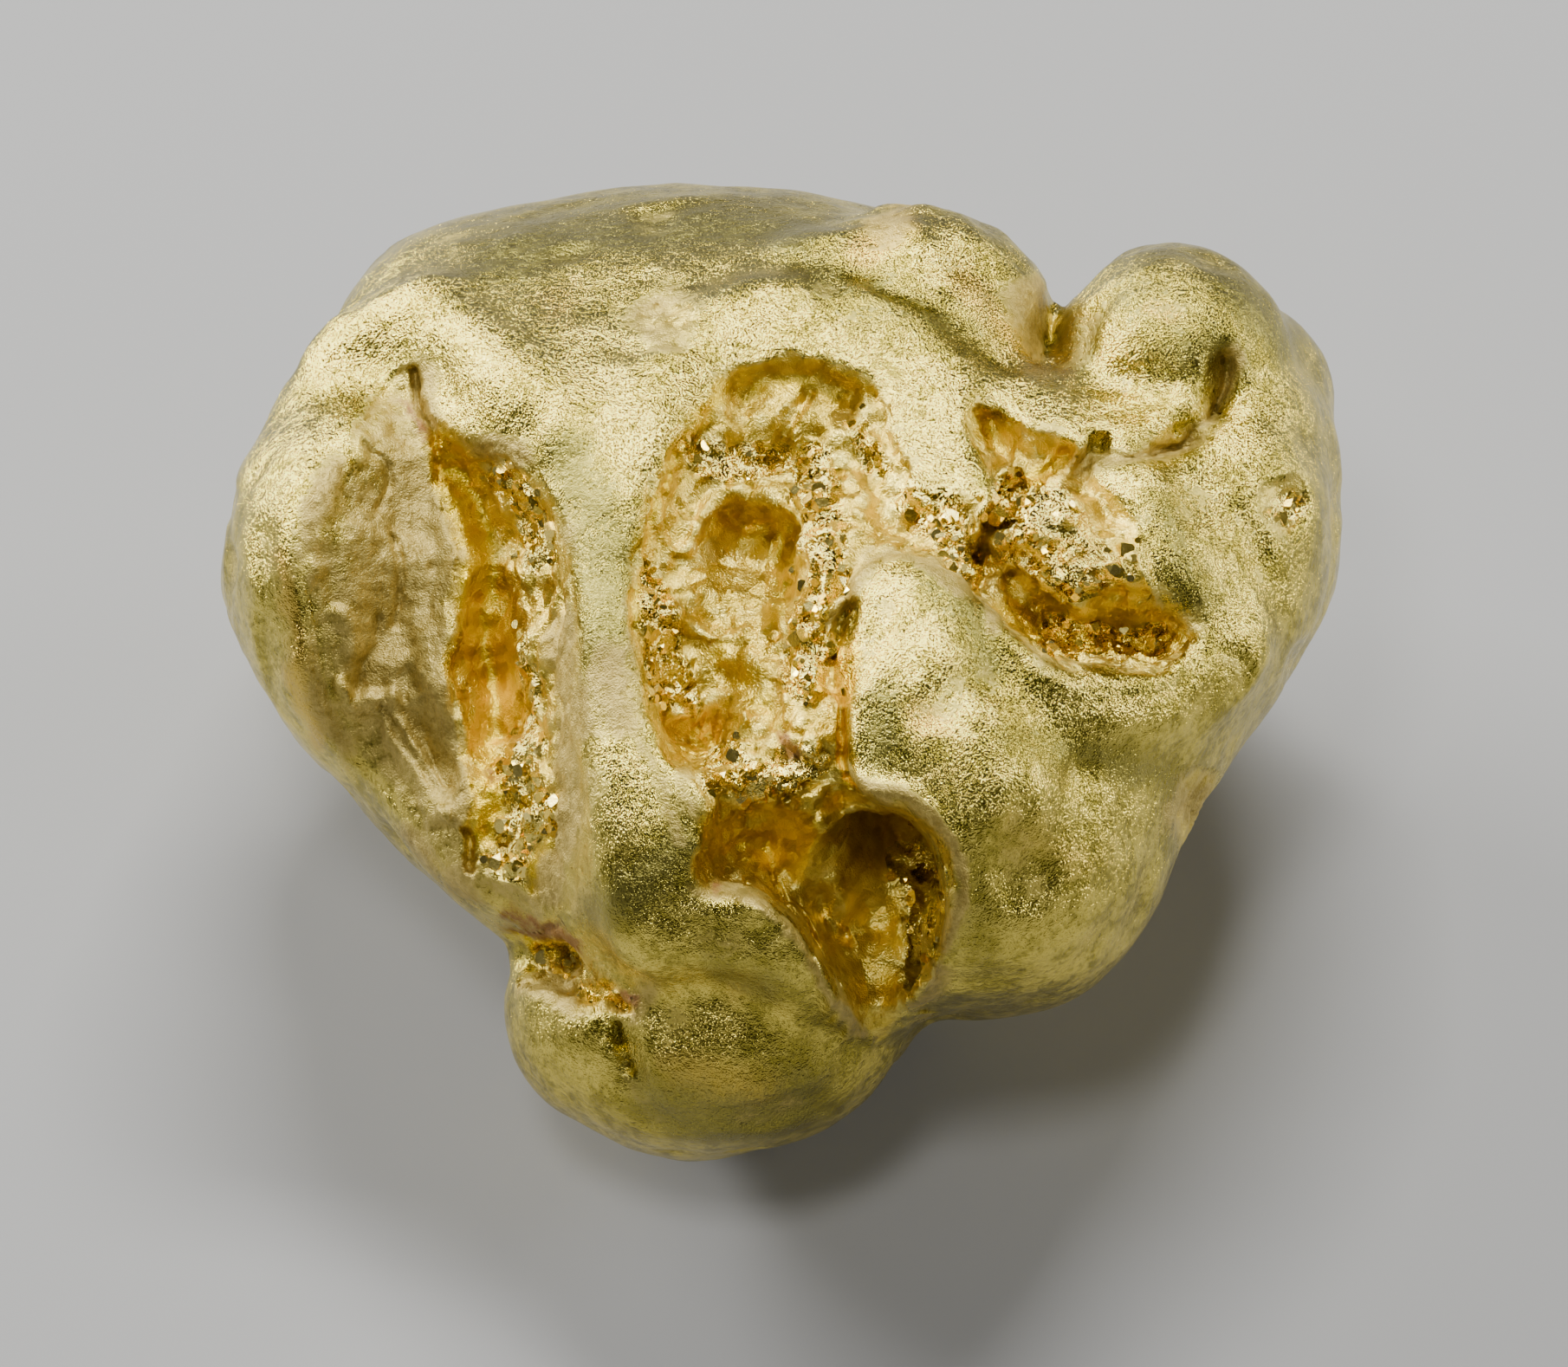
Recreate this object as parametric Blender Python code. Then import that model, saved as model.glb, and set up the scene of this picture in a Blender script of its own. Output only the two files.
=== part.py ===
"""A gold nugget: one natural, stream-worn lump of native gold, about 18 mm across.

The nugget is a flattened pebble that rests on a small worn flat. One side of it, the face, looks
forward and up. It holds a left hollow with a clay-stained ledge beside a deep channel, a middle
hollow that runs down into a deep pocket under a lip, and a right hollow under a round knob.

Forms on the face are drawn in the face's own axes, in millimetres: across (to the right), up
(along the face) and out (square to the face). The face matrix carries them to the object's frame,
which is in metres, +Z up, with its origin under the middle of the nugget, on the surface it rests on.
"""

import math
from dataclasses import dataclass

import bmesh
import bpy
import numpy as np
from mathutils import Matrix, Vector, noise
from mathutils.bvhtree import BVHTree

MM = 0.001

# How the face looks up: its height above the horizontal, and its lean to the left.
FACE_ELEVATION = math.radians(50.0)
FACE_LEAN = math.radians(6.0)

# The pebble that everything grows from: half its width, depth and thickness, and how far its
# right side is raised off the surface.
PEBBLE_HALF = (9.0, 9.3, 5.5)
PEBBLE_TILT = math.radians(5.0)

# The pebble's outline seen square to the face, as (across, up), without the lobes that grow past it.
PEBBLE_OUTLINE = (
    (9.00, 2.30), (8.75, 3.80), (7.90, 4.90), (6.20, 5.50), (4.60, 5.75), (3.50, 6.60),
    (2.00, 7.45), (-0.40, 7.90), (-3.60, 7.62), (-5.55, 7.30), (-6.90, 6.35), (-8.10, 4.20),
    (-8.99, 1.60), (-8.70, 0.40), (-7.39, -1.46), (-5.90, -3.10), (-4.60, -3.95), (-1.50, -5.30),
    (2.60, -5.45), (4.70, -5.10), (5.94, -3.96), (6.55, -2.45), (7.35, -1.15), (8.72, 0.76),
)

# How much of the lowest swell underneath is worn away into the flat that the nugget rests on.
WORN_DEPTH = 0.40

# The metal is gently uneven: the size of its swells, how far they stand out at the back and
# underneath, and the share of that on the face.
SWELL_SIZE = 3.2
SWELL_RISE = 0.60
FACE_SWELL_SHARE = 0.20

# The swells start where the normal's out part falls below the first number, and the second says how fast.
SWELL_START = 0.35
SWELL_GROWTH = 1.6

# The crust on the hollows' floors: the size of its lumps, and how far they stand out.
LUMP_SIZE = 0.90
LUMP_RISE = 0.50
LUMP_STEEPNESS = 1.6

# The crust starts this far in from a hollow's rim.
CRUST_INSET = 0.25

# How a hollow's floor runs between its drawn points: the least squared distance to one, and the power
# of that distance by which a point loses its say.
FLOOR_ROUNDING = 0.02
FLOOR_FALLOFF = 1.5

# The mould of the hollows: how steeply it leaves the skin past a rim, how far above the skin it
# ends, the square of the face that it covers, and its top.
MOULD_SLOPE = 1.5
MOULD_MARGIN = 0.30
MOULD_REACH = 9.6
MOULD_TOP = 14.0

# Mesh sizes: the grains at which forms are fused, drawn and finished, and the triangles left.
FUSE_GRAIN = 0.20
MOULD_GRAIN = 0.13
FINISH_GRAIN = 0.14
FINISHED_TRIANGLES = 9400

# How many times the joints between lobes, and the rims of the hollows, are rounded.
BODY_ROUNDING = 12
CUT_ROUNDING = 2

# Steps from one drawn point to the next, along an outline, along a bar and along a rim.
OUTLINE_STEPS = 8
STROKE_STEPS = 7
RIM_STEPS = 6

# Edges sharper than this are shaded as edges.
SHARP_ANGLE = math.radians(60.0)

GOLD = (0.80, 0.62, 0.26, 1.0)
GOLD_ROUGHNESS = 0.32


@dataclass(frozen=True)
class Lobe:
    """A rounded swelling: its centre as (across, up, out), its three radii, and its turn in degrees."""

    name: str
    centre: tuple
    radii: tuple
    turn: float = 0.0


@dataclass(frozen=True)
class Stroke:
    """A round-nosed bar along the face, as (across, up, rise above the skin, radius) points."""

    name: str
    points: tuple


@dataclass(frozen=True)
class Hollow:
    """A hollow: its rim as (across, up) points, its floor as (across, up, depth) points.

    The wall is how far in from the rim the floor is nearly reached, and the crust is how much of
    the lumps' full rise its floor has.
    """

    name: str
    rim: tuple
    floor: tuple
    wall: float
    crust: float


@dataclass(frozen=True)
class Crack:
    """A narrow cleft along (across, up) points: half its width, and its depth."""

    name: str
    points: tuple
    half_width: float
    depth: float


# Lobes that grow past the pebble's outline, or stand off its back and underside.
LOBES = (
    Lobe("knob", (6.40, 5.00, 0.00), (1.90, 1.92, 2.60), 10.0),
    Lobe("knob_neck", (7.15, 3.70, -0.10), (1.70, 1.80, 2.50), 15.0),
    Lobe("knob_shoulder", (7.85, 4.75, -1.30), (1.05, 1.35, 1.60), 20.0),
    Lobe("boss", (2.45, 5.95, -0.55), (2.10, 1.45, 2.10), -22.0),
    Lobe("foot", (-0.85, -5.35, 2.30), (3.15, 2.40, 3.20), 10.0),
    Lobe("foot_toe", (-2.50, -5.45, 2.20), (1.85, 1.80, 2.60), -25.0),
    Lobe("foot_root", (-0.10, -3.70, -0.20), (4.20, 2.90, 2.90), 12.0),
    Lobe("right_flank", (4.30, -2.20, 2.10), (2.20, 2.60, 3.60), -30.0),
    Lobe("right_shoulder", (7.00, 2.10, 0.80), (1.90, 2.50, 2.80), -8.0),
    Lobe("left_lobe", (-6.10, 1.10, 0.30), (2.75, 3.60, 3.70), 20.0),
    Lobe("heel", (1.60, 1.80, -4.60), (4.20, 3.60, 2.80), 25.0),
    Lobe("back_swell", (-3.40, 4.20, -4.20), (3.20, 2.60, 2.40), -20.0),
)

# Raised bars: the rims round the hollows, and the tongue between them.
RIDGES = (
    Stroke("tongue", ((2.15, 0.70, -0.80, 1.10), (2.20, -0.50, -0.75, 1.25), (2.90, -1.90, -1.00, 1.60))),
    Stroke("middle_ridge", ((-2.50, 2.90, -0.45, 0.62), (-2.70, 0.80, -0.40, 0.55),
                            (-2.55, -1.00, -0.45, 0.70), (-2.20, -2.80, -0.60, 0.95),
                            (-1.90, -4.00, -0.60, 0.95))),
    Stroke("top_rim", ((-2.20, 3.60, -0.50, 0.72), (-1.60, 4.90, -0.50, 0.75), (-0.20, 5.55, -0.55, 0.78),
                       (1.50, 5.30, -0.55, 0.78), (2.50, 4.60, -0.50, 0.66), (2.60, 3.60, -0.45, 0.52))),
    Stroke("left_arch", ((-8.00, 1.90, -0.60, 0.80), (-7.55, 3.30, -0.60, 0.80), (-6.75, 5.00, -0.55, 0.80),
                         (-5.95, 5.65, -0.55, 0.80), (-5.10, 5.20, -0.55, 0.78), (-4.20, 4.40, -0.55, 0.74),
                         (-3.30, 3.60, -0.50, 0.66))),
    Stroke("left_brow", ((-7.55, 2.60, -0.95, 1.05), (-7.10, 4.00, -0.95, 1.15), (-6.35, 5.10, -0.95, 1.15),
                         (-5.50, 5.40, -0.95, 1.05))),
    Stroke("boss_root", ((0.60, 6.20, -0.95, 1.00), (1.80, 6.00, -0.95, 1.05), (3.00, 5.20, -0.95, 1.05))),
    Stroke("right_rim", ((3.30, 0.20, -0.60, 0.72), (4.40, -0.60, -0.55, 0.80), (5.90, -0.55, -0.55, 0.80),
                         (7.10, 0.30, -0.60, 0.80))),
    Stroke("right_wall", ((5.60, 3.00, -0.50, 0.60), (6.05, 2.20, -0.50, 0.62), (6.40, 1.50, -0.50, 0.60))),
    Stroke("pocket_sill", ((-1.20, -4.10, -0.50, 0.62), (-0.20, -4.20, -0.50, 0.60),
                           (0.35, -5.00, -0.50, 0.60))),
    Stroke("bead", ((3.65, 4.55, -0.10, 0.36), (3.75, 4.35, -0.10, 0.36))),
)

HOLLOWS = (
    Hollow(
        "left_dish",
        ((-5.95, 4.80), (-5.45, 3.95), (-4.20, 3.40), (-3.50, 2.50), (-3.15, 1.00), (-3.10, -0.60),
         (-3.05, -2.20), (-3.20, -3.60), (-3.90, -4.10), (-4.80, -3.60), (-5.70, -2.75), (-6.50, -1.70),
         (-7.30, -0.60), (-7.65, 0.80), (-7.40, 2.40), (-6.90, 3.60), (-6.45, 4.35)),
        ((-6.40, 3.80, 0.85), (-6.90, 2.20, 0.95), (-6.00, 2.60, 1.40), (-7.00, 0.60, 0.95),
         (-6.00, 1.00, 1.45), (-6.50, -0.80, 0.90), (-5.40, -1.20, 1.30), (-5.50, -2.40, 0.85),
         (-4.60, 3.10, 1.00), (-3.80, 1.80, 0.90), (-3.60, -0.50, 0.90), (-3.60, -2.60, 0.85),
         (-4.40, -3.40, 0.80)),
        0.40,
        0.35,
    ),
    Hollow(
        "left_channel",
        ((-5.85, 4.45), (-5.45, 3.75), (-4.90, 3.55), (-4.30, 3.30), (-3.80, 2.85), (-3.50, 2.00),
         (-3.40, 0.60), (-3.35, -1.00), (-3.35, -2.40), (-3.50, -3.50), (-4.20, -3.35), (-4.80, -3.15),
         (-5.05, -2.70), (-4.85, -1.90), (-5.10, -1.00), (-5.35, -0.10), (-5.25, 0.90), (-5.10, 1.80),
         (-5.40, 2.60), (-5.60, 3.30)),
        ((-5.60, 3.90, 1.00), (-5.20, 3.10, 2.00), (-4.90, 2.20, 2.50), (-4.75, 1.20, 2.80),
         (-4.80, 0.00, 3.10), (-4.60, -1.00, 2.90), (-4.60, -2.00, 2.10), (-4.80, -2.80, 1.70),
         (-4.20, 2.70, 1.70), (-4.00, 1.60, 1.70), (-3.85, 0.20, 1.70), (-3.80, -1.20, 1.50),
         (-3.75, -2.40, 1.20), (-4.10, -3.10, 1.00)),
        0.28,
        0.75,
    ),
    Hollow(
        "middle_hollow",
        ((-0.70, 4.80), (0.10, 4.95), (1.00, 4.85), (1.70, 4.40), (1.95, 3.60), (2.00, 2.95),
         (2.90, 2.90), (3.50, 2.60), (3.10, 1.35), (2.70, 1.50), (2.10, 1.85), (1.50, 1.80),
         (1.05, 1.35), (0.90, 0.40), (0.90, -0.60), (1.00, -1.60), (0.90, -2.40), (0.30, -3.20),
         (-0.50, -3.50), (-1.30, -3.35), (-1.10, -2.20), (-1.20, -1.70), (-1.70, -1.50), (-1.95, -0.90),
         (-2.25, 0.20), (-2.35, 1.20), (-2.15, 2.50), (-1.75, 3.50), (-1.20, 4.30)),
        ((0.00, 4.50, 0.70), (1.20, 4.10, 0.80), (-0.90, 3.80, 1.10), (-0.20, 3.20, 1.50),
         (0.90, 3.20, 1.20), (1.70, 3.20, 0.90), (-1.70, 2.40, 1.40), (-0.60, 1.80, 2.00),
         (0.50, 2.00, 1.20), (1.40, 2.30, 0.90), (2.30, 2.50, 0.75), (3.10, 2.20, 1.00),
         (-1.90, 0.80, 1.30), (-1.20, 0.30, 1.90), (-0.20, 0.30, 1.60), (0.45, 0.40, 1.10),
         (-1.20, -0.90, 2.40), (-0.40, -0.70, 1.50), (0.35, -0.80, 1.00), (-0.60, -1.60, 1.30),
         (0.25, -1.60, 1.10), (-0.80, -2.60, 2.20), (0.20, -2.80, 2.80)),
        0.30,
        1.00,
    ),
    Hollow(
        "deep_pocket",
        ((0.30, -1.90), (0.95, -1.60), (1.40, -2.00), (2.00, -2.20), (2.45, -2.65), (2.62, -3.40),
         (2.50, -4.20), (2.10, -5.00), (1.75, -5.60), (1.45, -5.85), (1.15, -5.50), (0.80, -4.90),
         (0.40, -4.25), (0.00, -3.75), (-0.60, -3.45), (-0.90, -2.90), (-0.40, -2.30)),
        ((0.60, -2.30, 2.20), (1.20, -2.80, 3.60), (2.00, -2.90, 4.00), (1.40, -3.80, 4.20),
         (2.10, -3.90, 3.80), (0.70, -3.60, 3.40), (1.40, -4.80, 3.30), (1.50, -5.50, 1.80),
         (-0.50, -3.00, 2.20), (0.20, -3.20, 2.80)),
        0.26,
        0.80,
    ),
    Hollow(
        "right_hollow",
        ((3.10, 1.25), (3.45, 0.70), (4.20, 0.15), (5.00, -0.02), (5.80, 0.05), (6.45, 0.35),
         (6.50, 0.80), (5.90, 1.15), (5.65, 1.80), (5.45, 2.50), (4.95, 3.05), (4.75, 3.50),
         (4.30, 3.75), (3.75, 3.90), (3.20, 4.30), (3.00, 3.90), (3.20, 3.30), (3.35, 2.60)),
        ((3.35, 3.80, 1.90), (4.10, 3.40, 1.20), (4.70, 2.90, 0.90), (4.20, 2.40, 0.80),
         (3.60, 2.40, 1.20), (5.10, 2.20, 0.90), (4.40, 1.50, 0.90), (3.45, 1.40, 1.60),
         (5.30, 1.20, 1.50), (4.00, 0.80, 1.60), (5.20, 0.50, 1.50), (6.10, 0.60, 1.40)),
        0.28,
        1.00,
    ),
    Hollow(
        "cavern_mouth",
        ((-4.40, -4.20), (-3.80, -4.10), (-3.35, -4.25), (-3.05, -4.60), (-2.75, -5.00), (-2.25, -5.15),
         (-2.55, -5.40), (-3.25, -5.25), (-3.90, -4.95), (-4.45, -4.75)),
        ((-4.20, -4.50, 1.20), (-3.60, -4.60, 1.70), (-2.80, -5.10, 1.10)),
        0.25,
        0.60,
    ),
    Hollow(
        "pebble_print",
        ((0.30, 1.90), (0.00, 2.50), (-0.65, 2.68), (-1.30, 2.40), (-1.55, 1.80), (-1.25, 1.20),
         (-0.60, 0.95), (0.05, 1.25)),
        ((-0.50, 2.00, 2.30), (-0.90, 1.40, 2.00)),
        0.20,
        0.25,
    ),
    Hollow(
        "square_pit",
        ((-1.70, -0.50), (-0.95, -0.55), (-0.80, -1.10), (-1.10, -1.50), (-1.65, -1.35), (-1.85, -0.90)),
        ((-1.30, -1.00, 3.00),),
        0.20,
        0.30,
    ),
    Hollow(
        "top_pit",
        ((-2.15, 5.95), (-1.70, 5.95), (-1.40, 5.55), (-1.65, 5.25), (-2.10, 5.45)),
        ((-1.80, 5.60, 0.60),),
        0.20,
        0.30,
    ),
    Hollow(
        "side_pit",
        ((7.60, 2.95), (8.20, 3.00), (8.35, 2.50), (8.00, 2.20), (7.65, 2.45)),
        ((8.00, 2.65, 0.60),),
        0.20,
        0.40,
    ),
    Hollow(
        "side_notch",
        ((6.30, -1.70), (6.80, -1.60), (6.90, -2.20), (6.60, -2.80), (6.20, -2.50)),
        ((6.60, -2.15, 0.80),),
        0.25,
        0.40,
    ),
)

CRACKS = (
    Crack("tongue_groove", ((1.05, 1.00), (0.84, 0.30), (0.80, -0.60), (0.92, -1.70)), 0.19, 1.50),
    Crack("bright_crack", ((3.08, 1.30), (3.25, 1.90), (3.45, 2.50), (3.75, 3.10)), 0.22, 2.40),
    Crack("crevice_slot", ((4.72, 3.10), (4.95, 3.35), (5.12, 3.62)), 0.20, 0.65),
    Crack("crevice_seam", ((5.05, 3.48), (5.70, 3.48), (6.40, 3.72), (6.90, 4.20)), 0.26, 0.28),
    Crack("crevice_pit", ((5.78, 3.48), (6.15, 3.58), (6.45, 3.74)), 0.22, 0.75),
    Crack("crevice_hook", ((6.82, 4.08), (7.02, 4.50), (6.94, 5.02)), 0.22, 0.80),
    Crack("notch_crack", ((4.45, 6.40), (4.32, 5.70), (4.28, 5.00)), 0.26, 1.00),
    Crack("ledge_crack", ((-6.45, 0.60), (-6.55, 0.10), (-6.75, -0.35)), 0.20, 1.00),
    Crack("ledge_slit", ((-6.25, -0.50), (-5.85, -1.20), (-5.45, -2.00)), 0.22, 1.30),
    Crack("foot_crack", ((-2.55, -5.70), (-2.30, -6.40)), 0.20, 0.50),
)

# Bars taken out from under a rim, where a hollow is wider inside than at its mouth.
UNDERCUTS = (
    Stroke("under_lip", ((1.60, -2.60, -2.50, 0.75), (2.35, -3.20, -2.60, 0.95), (2.30, -4.20, -2.30, 0.80))),
    Stroke("under_ledge", ((-5.15, 2.20, -2.55, 0.40), (-5.30, 0.60, -2.85, 0.50),
                           (-5.20, -0.90, -2.70, 0.45))),
)


def face_matrix():
    """The rotation from (across, up, out) to the object's axes."""
    back = math.sin(FACE_ELEVATION)
    level = math.cos(FACE_ELEVATION)
    right = Vector((1.0, 0.0, 0.0))
    rise = Vector((0.0, back, level))
    out = Vector((0.0, -level, back))
    across = right * math.cos(FACE_LEAN) - rise * math.sin(FACE_LEAN)
    up = right * math.sin(FACE_LEAN) + rise * math.cos(FACE_LEAN)
    return Matrix((across, up, out)).transposed()


FACE = face_matrix()


def clear_scene():
    """Removes every object, so that the part stands alone."""
    for obj in list(bpy.data.objects):
        bpy.data.objects.remove(obj, do_unlink=True)


def object_from(name, mesh_maker):
    """An object whose mesh is the bmesh that mesh_maker fills."""
    made = bmesh.new()
    mesh_maker(made)
    mesh = bpy.data.meshes.new(name)
    made.to_mesh(mesh)
    made.free()
    obj = bpy.data.objects.new(name, mesh)
    bpy.context.collection.objects.link(obj)
    return obj


def settle(obj):
    """Applies the object's modifiers, in their order."""
    graph = bpy.context.evaluated_depsgraph_get()
    mesh = bpy.data.meshes.new_from_object(obj.evaluated_get(graph))
    obj.modifiers.clear()
    obj.data = mesh


def fuse(obj, grain, smoothing):
    """Makes the object's overlapping bodies one skin with the given grain, and rounds its joints."""
    remesh = obj.modifiers.new("fuse", "REMESH")
    remesh.mode = "VOXEL"
    remesh.voxel_size = grain * MM
    smooth = obj.modifiers.new("round", "SMOOTH")
    smooth.factor = 0.5
    smooth.iterations = smoothing
    settle(obj)


def cut_away(body, cutter):
    """Takes the cutter out of the body, and removes the cutter."""
    cutter.hide_render = True
    cutter.display_type = "WIRE"
    cut = body.modifiers.new("cut", "BOOLEAN")
    cut.operation = "DIFFERENCE"
    cut.solver = "EXACT"
    cut.object = cutter
    settle(body)
    bpy.data.objects.remove(cutter, do_unlink=True)


def curve_through(points, steps):
    """Points along a smooth curve through the given ones, which may hold any number of values."""
    points = [np.array(point, float) for point in points]
    ends = [2 * points[0] - points[1], *points, 2 * points[-1] - points[-2]]
    found = []
    for before, start, end, after in zip(ends, ends[1:], ends[2:], ends[3:]):
        for step in range(steps):
            t = step / steps
            found.append(
                0.5 * (2 * start + (end - before) * t
                       + (2 * before - 5 * start + 4 * end - after) * t**2
                       + (3 * start - before - 3 * end + after) * t**3)
            )
    return np.array([*found, points[-1]])


def closed_curve_through(points, steps):
    """Points along a smooth closed curve through the given ones."""
    around = curve_through([*points[-2:], *points, *points[:3]], steps)
    return around[2 * steps:(2 + len(points)) * steps]


def outline_radius():
    """A function from an angle round the face to the outline's distance from the middle."""
    drawn = closed_curve_through(PEBBLE_OUTLINE, OUTLINE_STEPS)
    angles = np.arctan2(drawn[:, 1], drawn[:, 0])
    distances = np.hypot(drawn[:, 0], drawn[:, 1])
    order = np.argsort(angles)
    angles = angles[order]
    distances = distances[order]

    def radius(angle):
        return float(np.interp(angle, angles, distances, period=2 * math.pi))

    return radius


def make_pebble(made):
    """A ball stretched to the pebble's sizes, then drawn out to its outline, in the face's axes."""
    tilt = Matrix.Rotation(-PEBBLE_TILT, 3, "Y")
    form = FACE.transposed() @ tilt @ Matrix.Diagonal(PEBBLE_HALF)
    shadow = np.linalg.inv(np.array(form @ form.transposed())[:2, :2])
    radius = outline_radius()
    bmesh.ops.create_icosphere(made, subdivisions=6, radius=1.0)
    for vert in made.verts:
        place = form @ vert.co
        angle = math.atan2(place.y, place.x)
        heading = np.array((math.cos(angle), math.sin(angle)))
        plain = 1 / math.sqrt(heading @ shadow @ heading)
        stretch = radius(angle) / plain
        vert.co = Vector((place.x * stretch, place.y * stretch, place.z)) * MM


def add_ball(made, centre, radii, turn=0.0):
    """A ball with its own radii, turned in degrees about the out axis, added to the mesh."""
    place = Matrix.Translation(Vector(centre) * MM)
    form = Matrix.Diagonal((*(radius * MM for radius in radii), 1.0))
    turned = Matrix.Rotation(math.radians(turn), 4, "Z")
    bmesh.ops.create_icosphere(made, subdivisions=3, radius=1.0, matrix=place @ turned @ form)


class Skin:
    """The surface of an object, as the face shows it.

    A place past its edge is moved inward by a share of its distance, a few times at most.
    """

    ABOVE = 40.0
    INWARD = 0.93
    TRIES = 6

    def __init__(self, obj):
        mesh = obj.data
        corners = [vert.co / MM for vert in mesh.vertices]
        self.tree = BVHTree.FromPolygons(corners, [tuple(face.vertices) for face in mesh.polygons])

    def out_at(self, across, up):
        """How far out the skin stands there. Past its edge, the nearest skin inward counts."""
        for _ in range(self.TRIES):
            hit = self.tree.ray_cast(Vector((across, up, self.ABOVE)), Vector((0.0, 0.0, -1.0)))[0]
            if hit is not None:
                return hit.z
            across *= self.INWARD
            up *= self.INWARD
        return 0.0


def add_stroke(made, skin, stroke):
    """A row of balls along the stroke, close enough to fuse into one round-nosed bar."""
    for across, up, rise, radius in curve_through(stroke.points, STROKE_STEPS):
        add_ball(made, (across, up, skin.out_at(across, up) + rise), (radius, radius, radius))


def distances_to(path, places):
    """How far each place is from a path of straight runs."""
    starts = path[:-1]
    runs = path[1:] - starts
    lengths = (runs**2).sum(axis=1)
    offsets = places[:, None, :] - starts[None, :, :]
    along = np.clip((offsets * runs).sum(axis=2) / lengths, 0, 1)
    return np.sqrt(((offsets - along[..., None] * runs) ** 2).sum(axis=2)).min(axis=1)


def inside(ring, places):
    """Which places lie inside a closed ring."""
    result = np.zeros(len(places), bool)
    for start, end in zip(ring, np.roll(ring, -1, axis=0)):
        crosses = (start[1] > places[:, 1]) != (end[1] > places[:, 1])
        run = end[1] - start[1] or 1e-9
        edge = start[0] + (places[:, 1] - start[1]) * (end[0] - start[0]) / run
        result ^= crosses & (places[:, 0] < edge)
    return result


def lumps_at(places):
    """The crust's height at each place, from 0 between two lumps to 1 on the top of one."""
    heights = np.empty(len(places))
    for index, (across, up) in enumerate(places):
        near, next_near = noise.voronoi(Vector((across, up, 0.0)) / LUMP_SIZE)[0][:2]
        heights[index] = min(1.0, (next_near - near) * LUMP_STEEPNESS)
    return heights


def hollow_rise(hollow, places, lumps):
    """How far the hollow's floor stands above the skin at each place: below 0 inside its rim."""
    ring = closed_curve_through(hollow.rim, RIM_STEPS)
    gap = distances_to(np.vstack([ring, ring[:1]]), places)
    floor = np.array(hollow.floor)
    spans = ((places[:, None, :] - floor[None, :, :2]) ** 2).sum(axis=2)
    shares = 1 / (spans + FLOOR_ROUNDING) ** FLOOR_FALLOFF
    depth = (shares * floor[:, 2]).sum(axis=1) / shares.sum(axis=1)
    reached = 1 - np.exp(-gap / hollow.wall)
    crust = LUMP_RISE * hollow.crust * lumps * (1 - np.exp(-gap / CRUST_INSET))
    return np.where(inside(ring, places), crust - depth * reached, gap * MOULD_SLOPE)


def crack_rise(crack, places):
    """How far the crack's floor stands above the skin at each place: below 0 inside it."""
    gap = distances_to(curve_through(crack.points, RIM_STEPS), places) / crack.half_width
    return np.where(gap < 1, -crack.depth * (1 - gap**2), (gap - 1) * crack.half_width * MOULD_SLOPE)


def without_corner_contacts(cells):
    """The cells with more filled in, until no two of them touch at a corner only."""
    cells = cells.copy()
    while True:
        first, second = cells[:-1, :-1], cells[1:, 1:]
        third, fourth = cells[1:, :-1], cells[:-1, 1:]
        touching = (first & second & ~third & ~fourth) | (third & fourth & ~first & ~second)
        if not touching.any():
            return cells
        for i, j in zip(*np.nonzero(touching)):
            cells[i:i + 2, j:j + 2] = True


def make_mould(skin):
    """A function that fills a mesh with what is missing from the hollows, up to well above the skin."""
    count = int(2 * MOULD_REACH / MOULD_GRAIN)
    line = np.linspace(-MOULD_REACH, MOULD_REACH, count)
    across, up = np.meshgrid(line, line, indexing="ij")
    places = np.stack([across.ravel(), up.ravel()], axis=1)
    lumps = lumps_at(places)
    rises = [hollow_rise(hollow, places, lumps) for hollow in HOLLOWS]
    rises += [crack_rise(crack, places) for crack in CRACKS]
    rise = np.min(rises, axis=0).reshape(count, count)

    def build(made):
        wanted = rise < MOULD_MARGIN
        cells = without_corner_contacts(wanted[:-1, :-1] & wanted[1:, :-1] & wanted[:-1, 1:] & wanted[1:, 1:])
        floor = {}
        roof = {}

        def corner(i, j):
            if (i, j) not in floor:
                out = skin.out_at(line[i], line[j]) + rise[i, j]
                floor[i, j] = made.verts.new(Vector((line[i], line[j], out)) * MM)
                roof[i, j] = made.verts.new(Vector((line[i], line[j], MOULD_TOP)) * MM)
            return i, j

        for i, j in zip(*np.nonzero(cells)):
            ring = [corner(i, j), corner(i + 1, j), corner(i + 1, j + 1), corner(i, j + 1)]
            made.faces.new([roof[key] for key in ring])
            made.faces.new([floor[key] for key in reversed(ring)])
            beside = [(i, j - 1), (i + 1, j), (i, j + 1), (i - 1, j)]
            for (a, b), (k, m) in zip(zip(ring, ring[1:] + ring[:1]), beside):
                if not cells[k, m]:
                    made.faces.new([floor[a], floor[b], roof[b], roof[a]])
        bmesh.ops.triangulate(made, faces=made.faces)

    return build


def make_body(skin_source):
    """The nugget before its hollows: the pebble with its lobes and ridges."""
    skin = Skin(skin_source)

    def build(made):
        made.from_mesh(skin_source.data)
        for lobe in LOBES:
            add_ball(made, lobe.centre, lobe.radii, lobe.turn)
        for ridge in RIDGES:
            add_stroke(made, skin, ridge)

    body = object_from("gold_nugget", build)
    fuse(body, FUSE_GRAIN, BODY_ROUNDING)
    return body


def swell(body):
    """Makes the surface gently uneven, the most where the face doesn't show it."""
    made = bmesh.new()
    made.from_mesh(body.data)
    for vert in made.verts:
        hidden = min(1.0, max(FACE_SWELL_SHARE, (SWELL_START - vert.normal.z) * SWELL_GROWTH))
        rise = noise.noise(vert.co / (SWELL_SIZE * MM)) * SWELL_RISE
        vert.co += vert.normal * (rise * hidden * MM)
    made.to_mesh(body.data)
    made.free()


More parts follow.
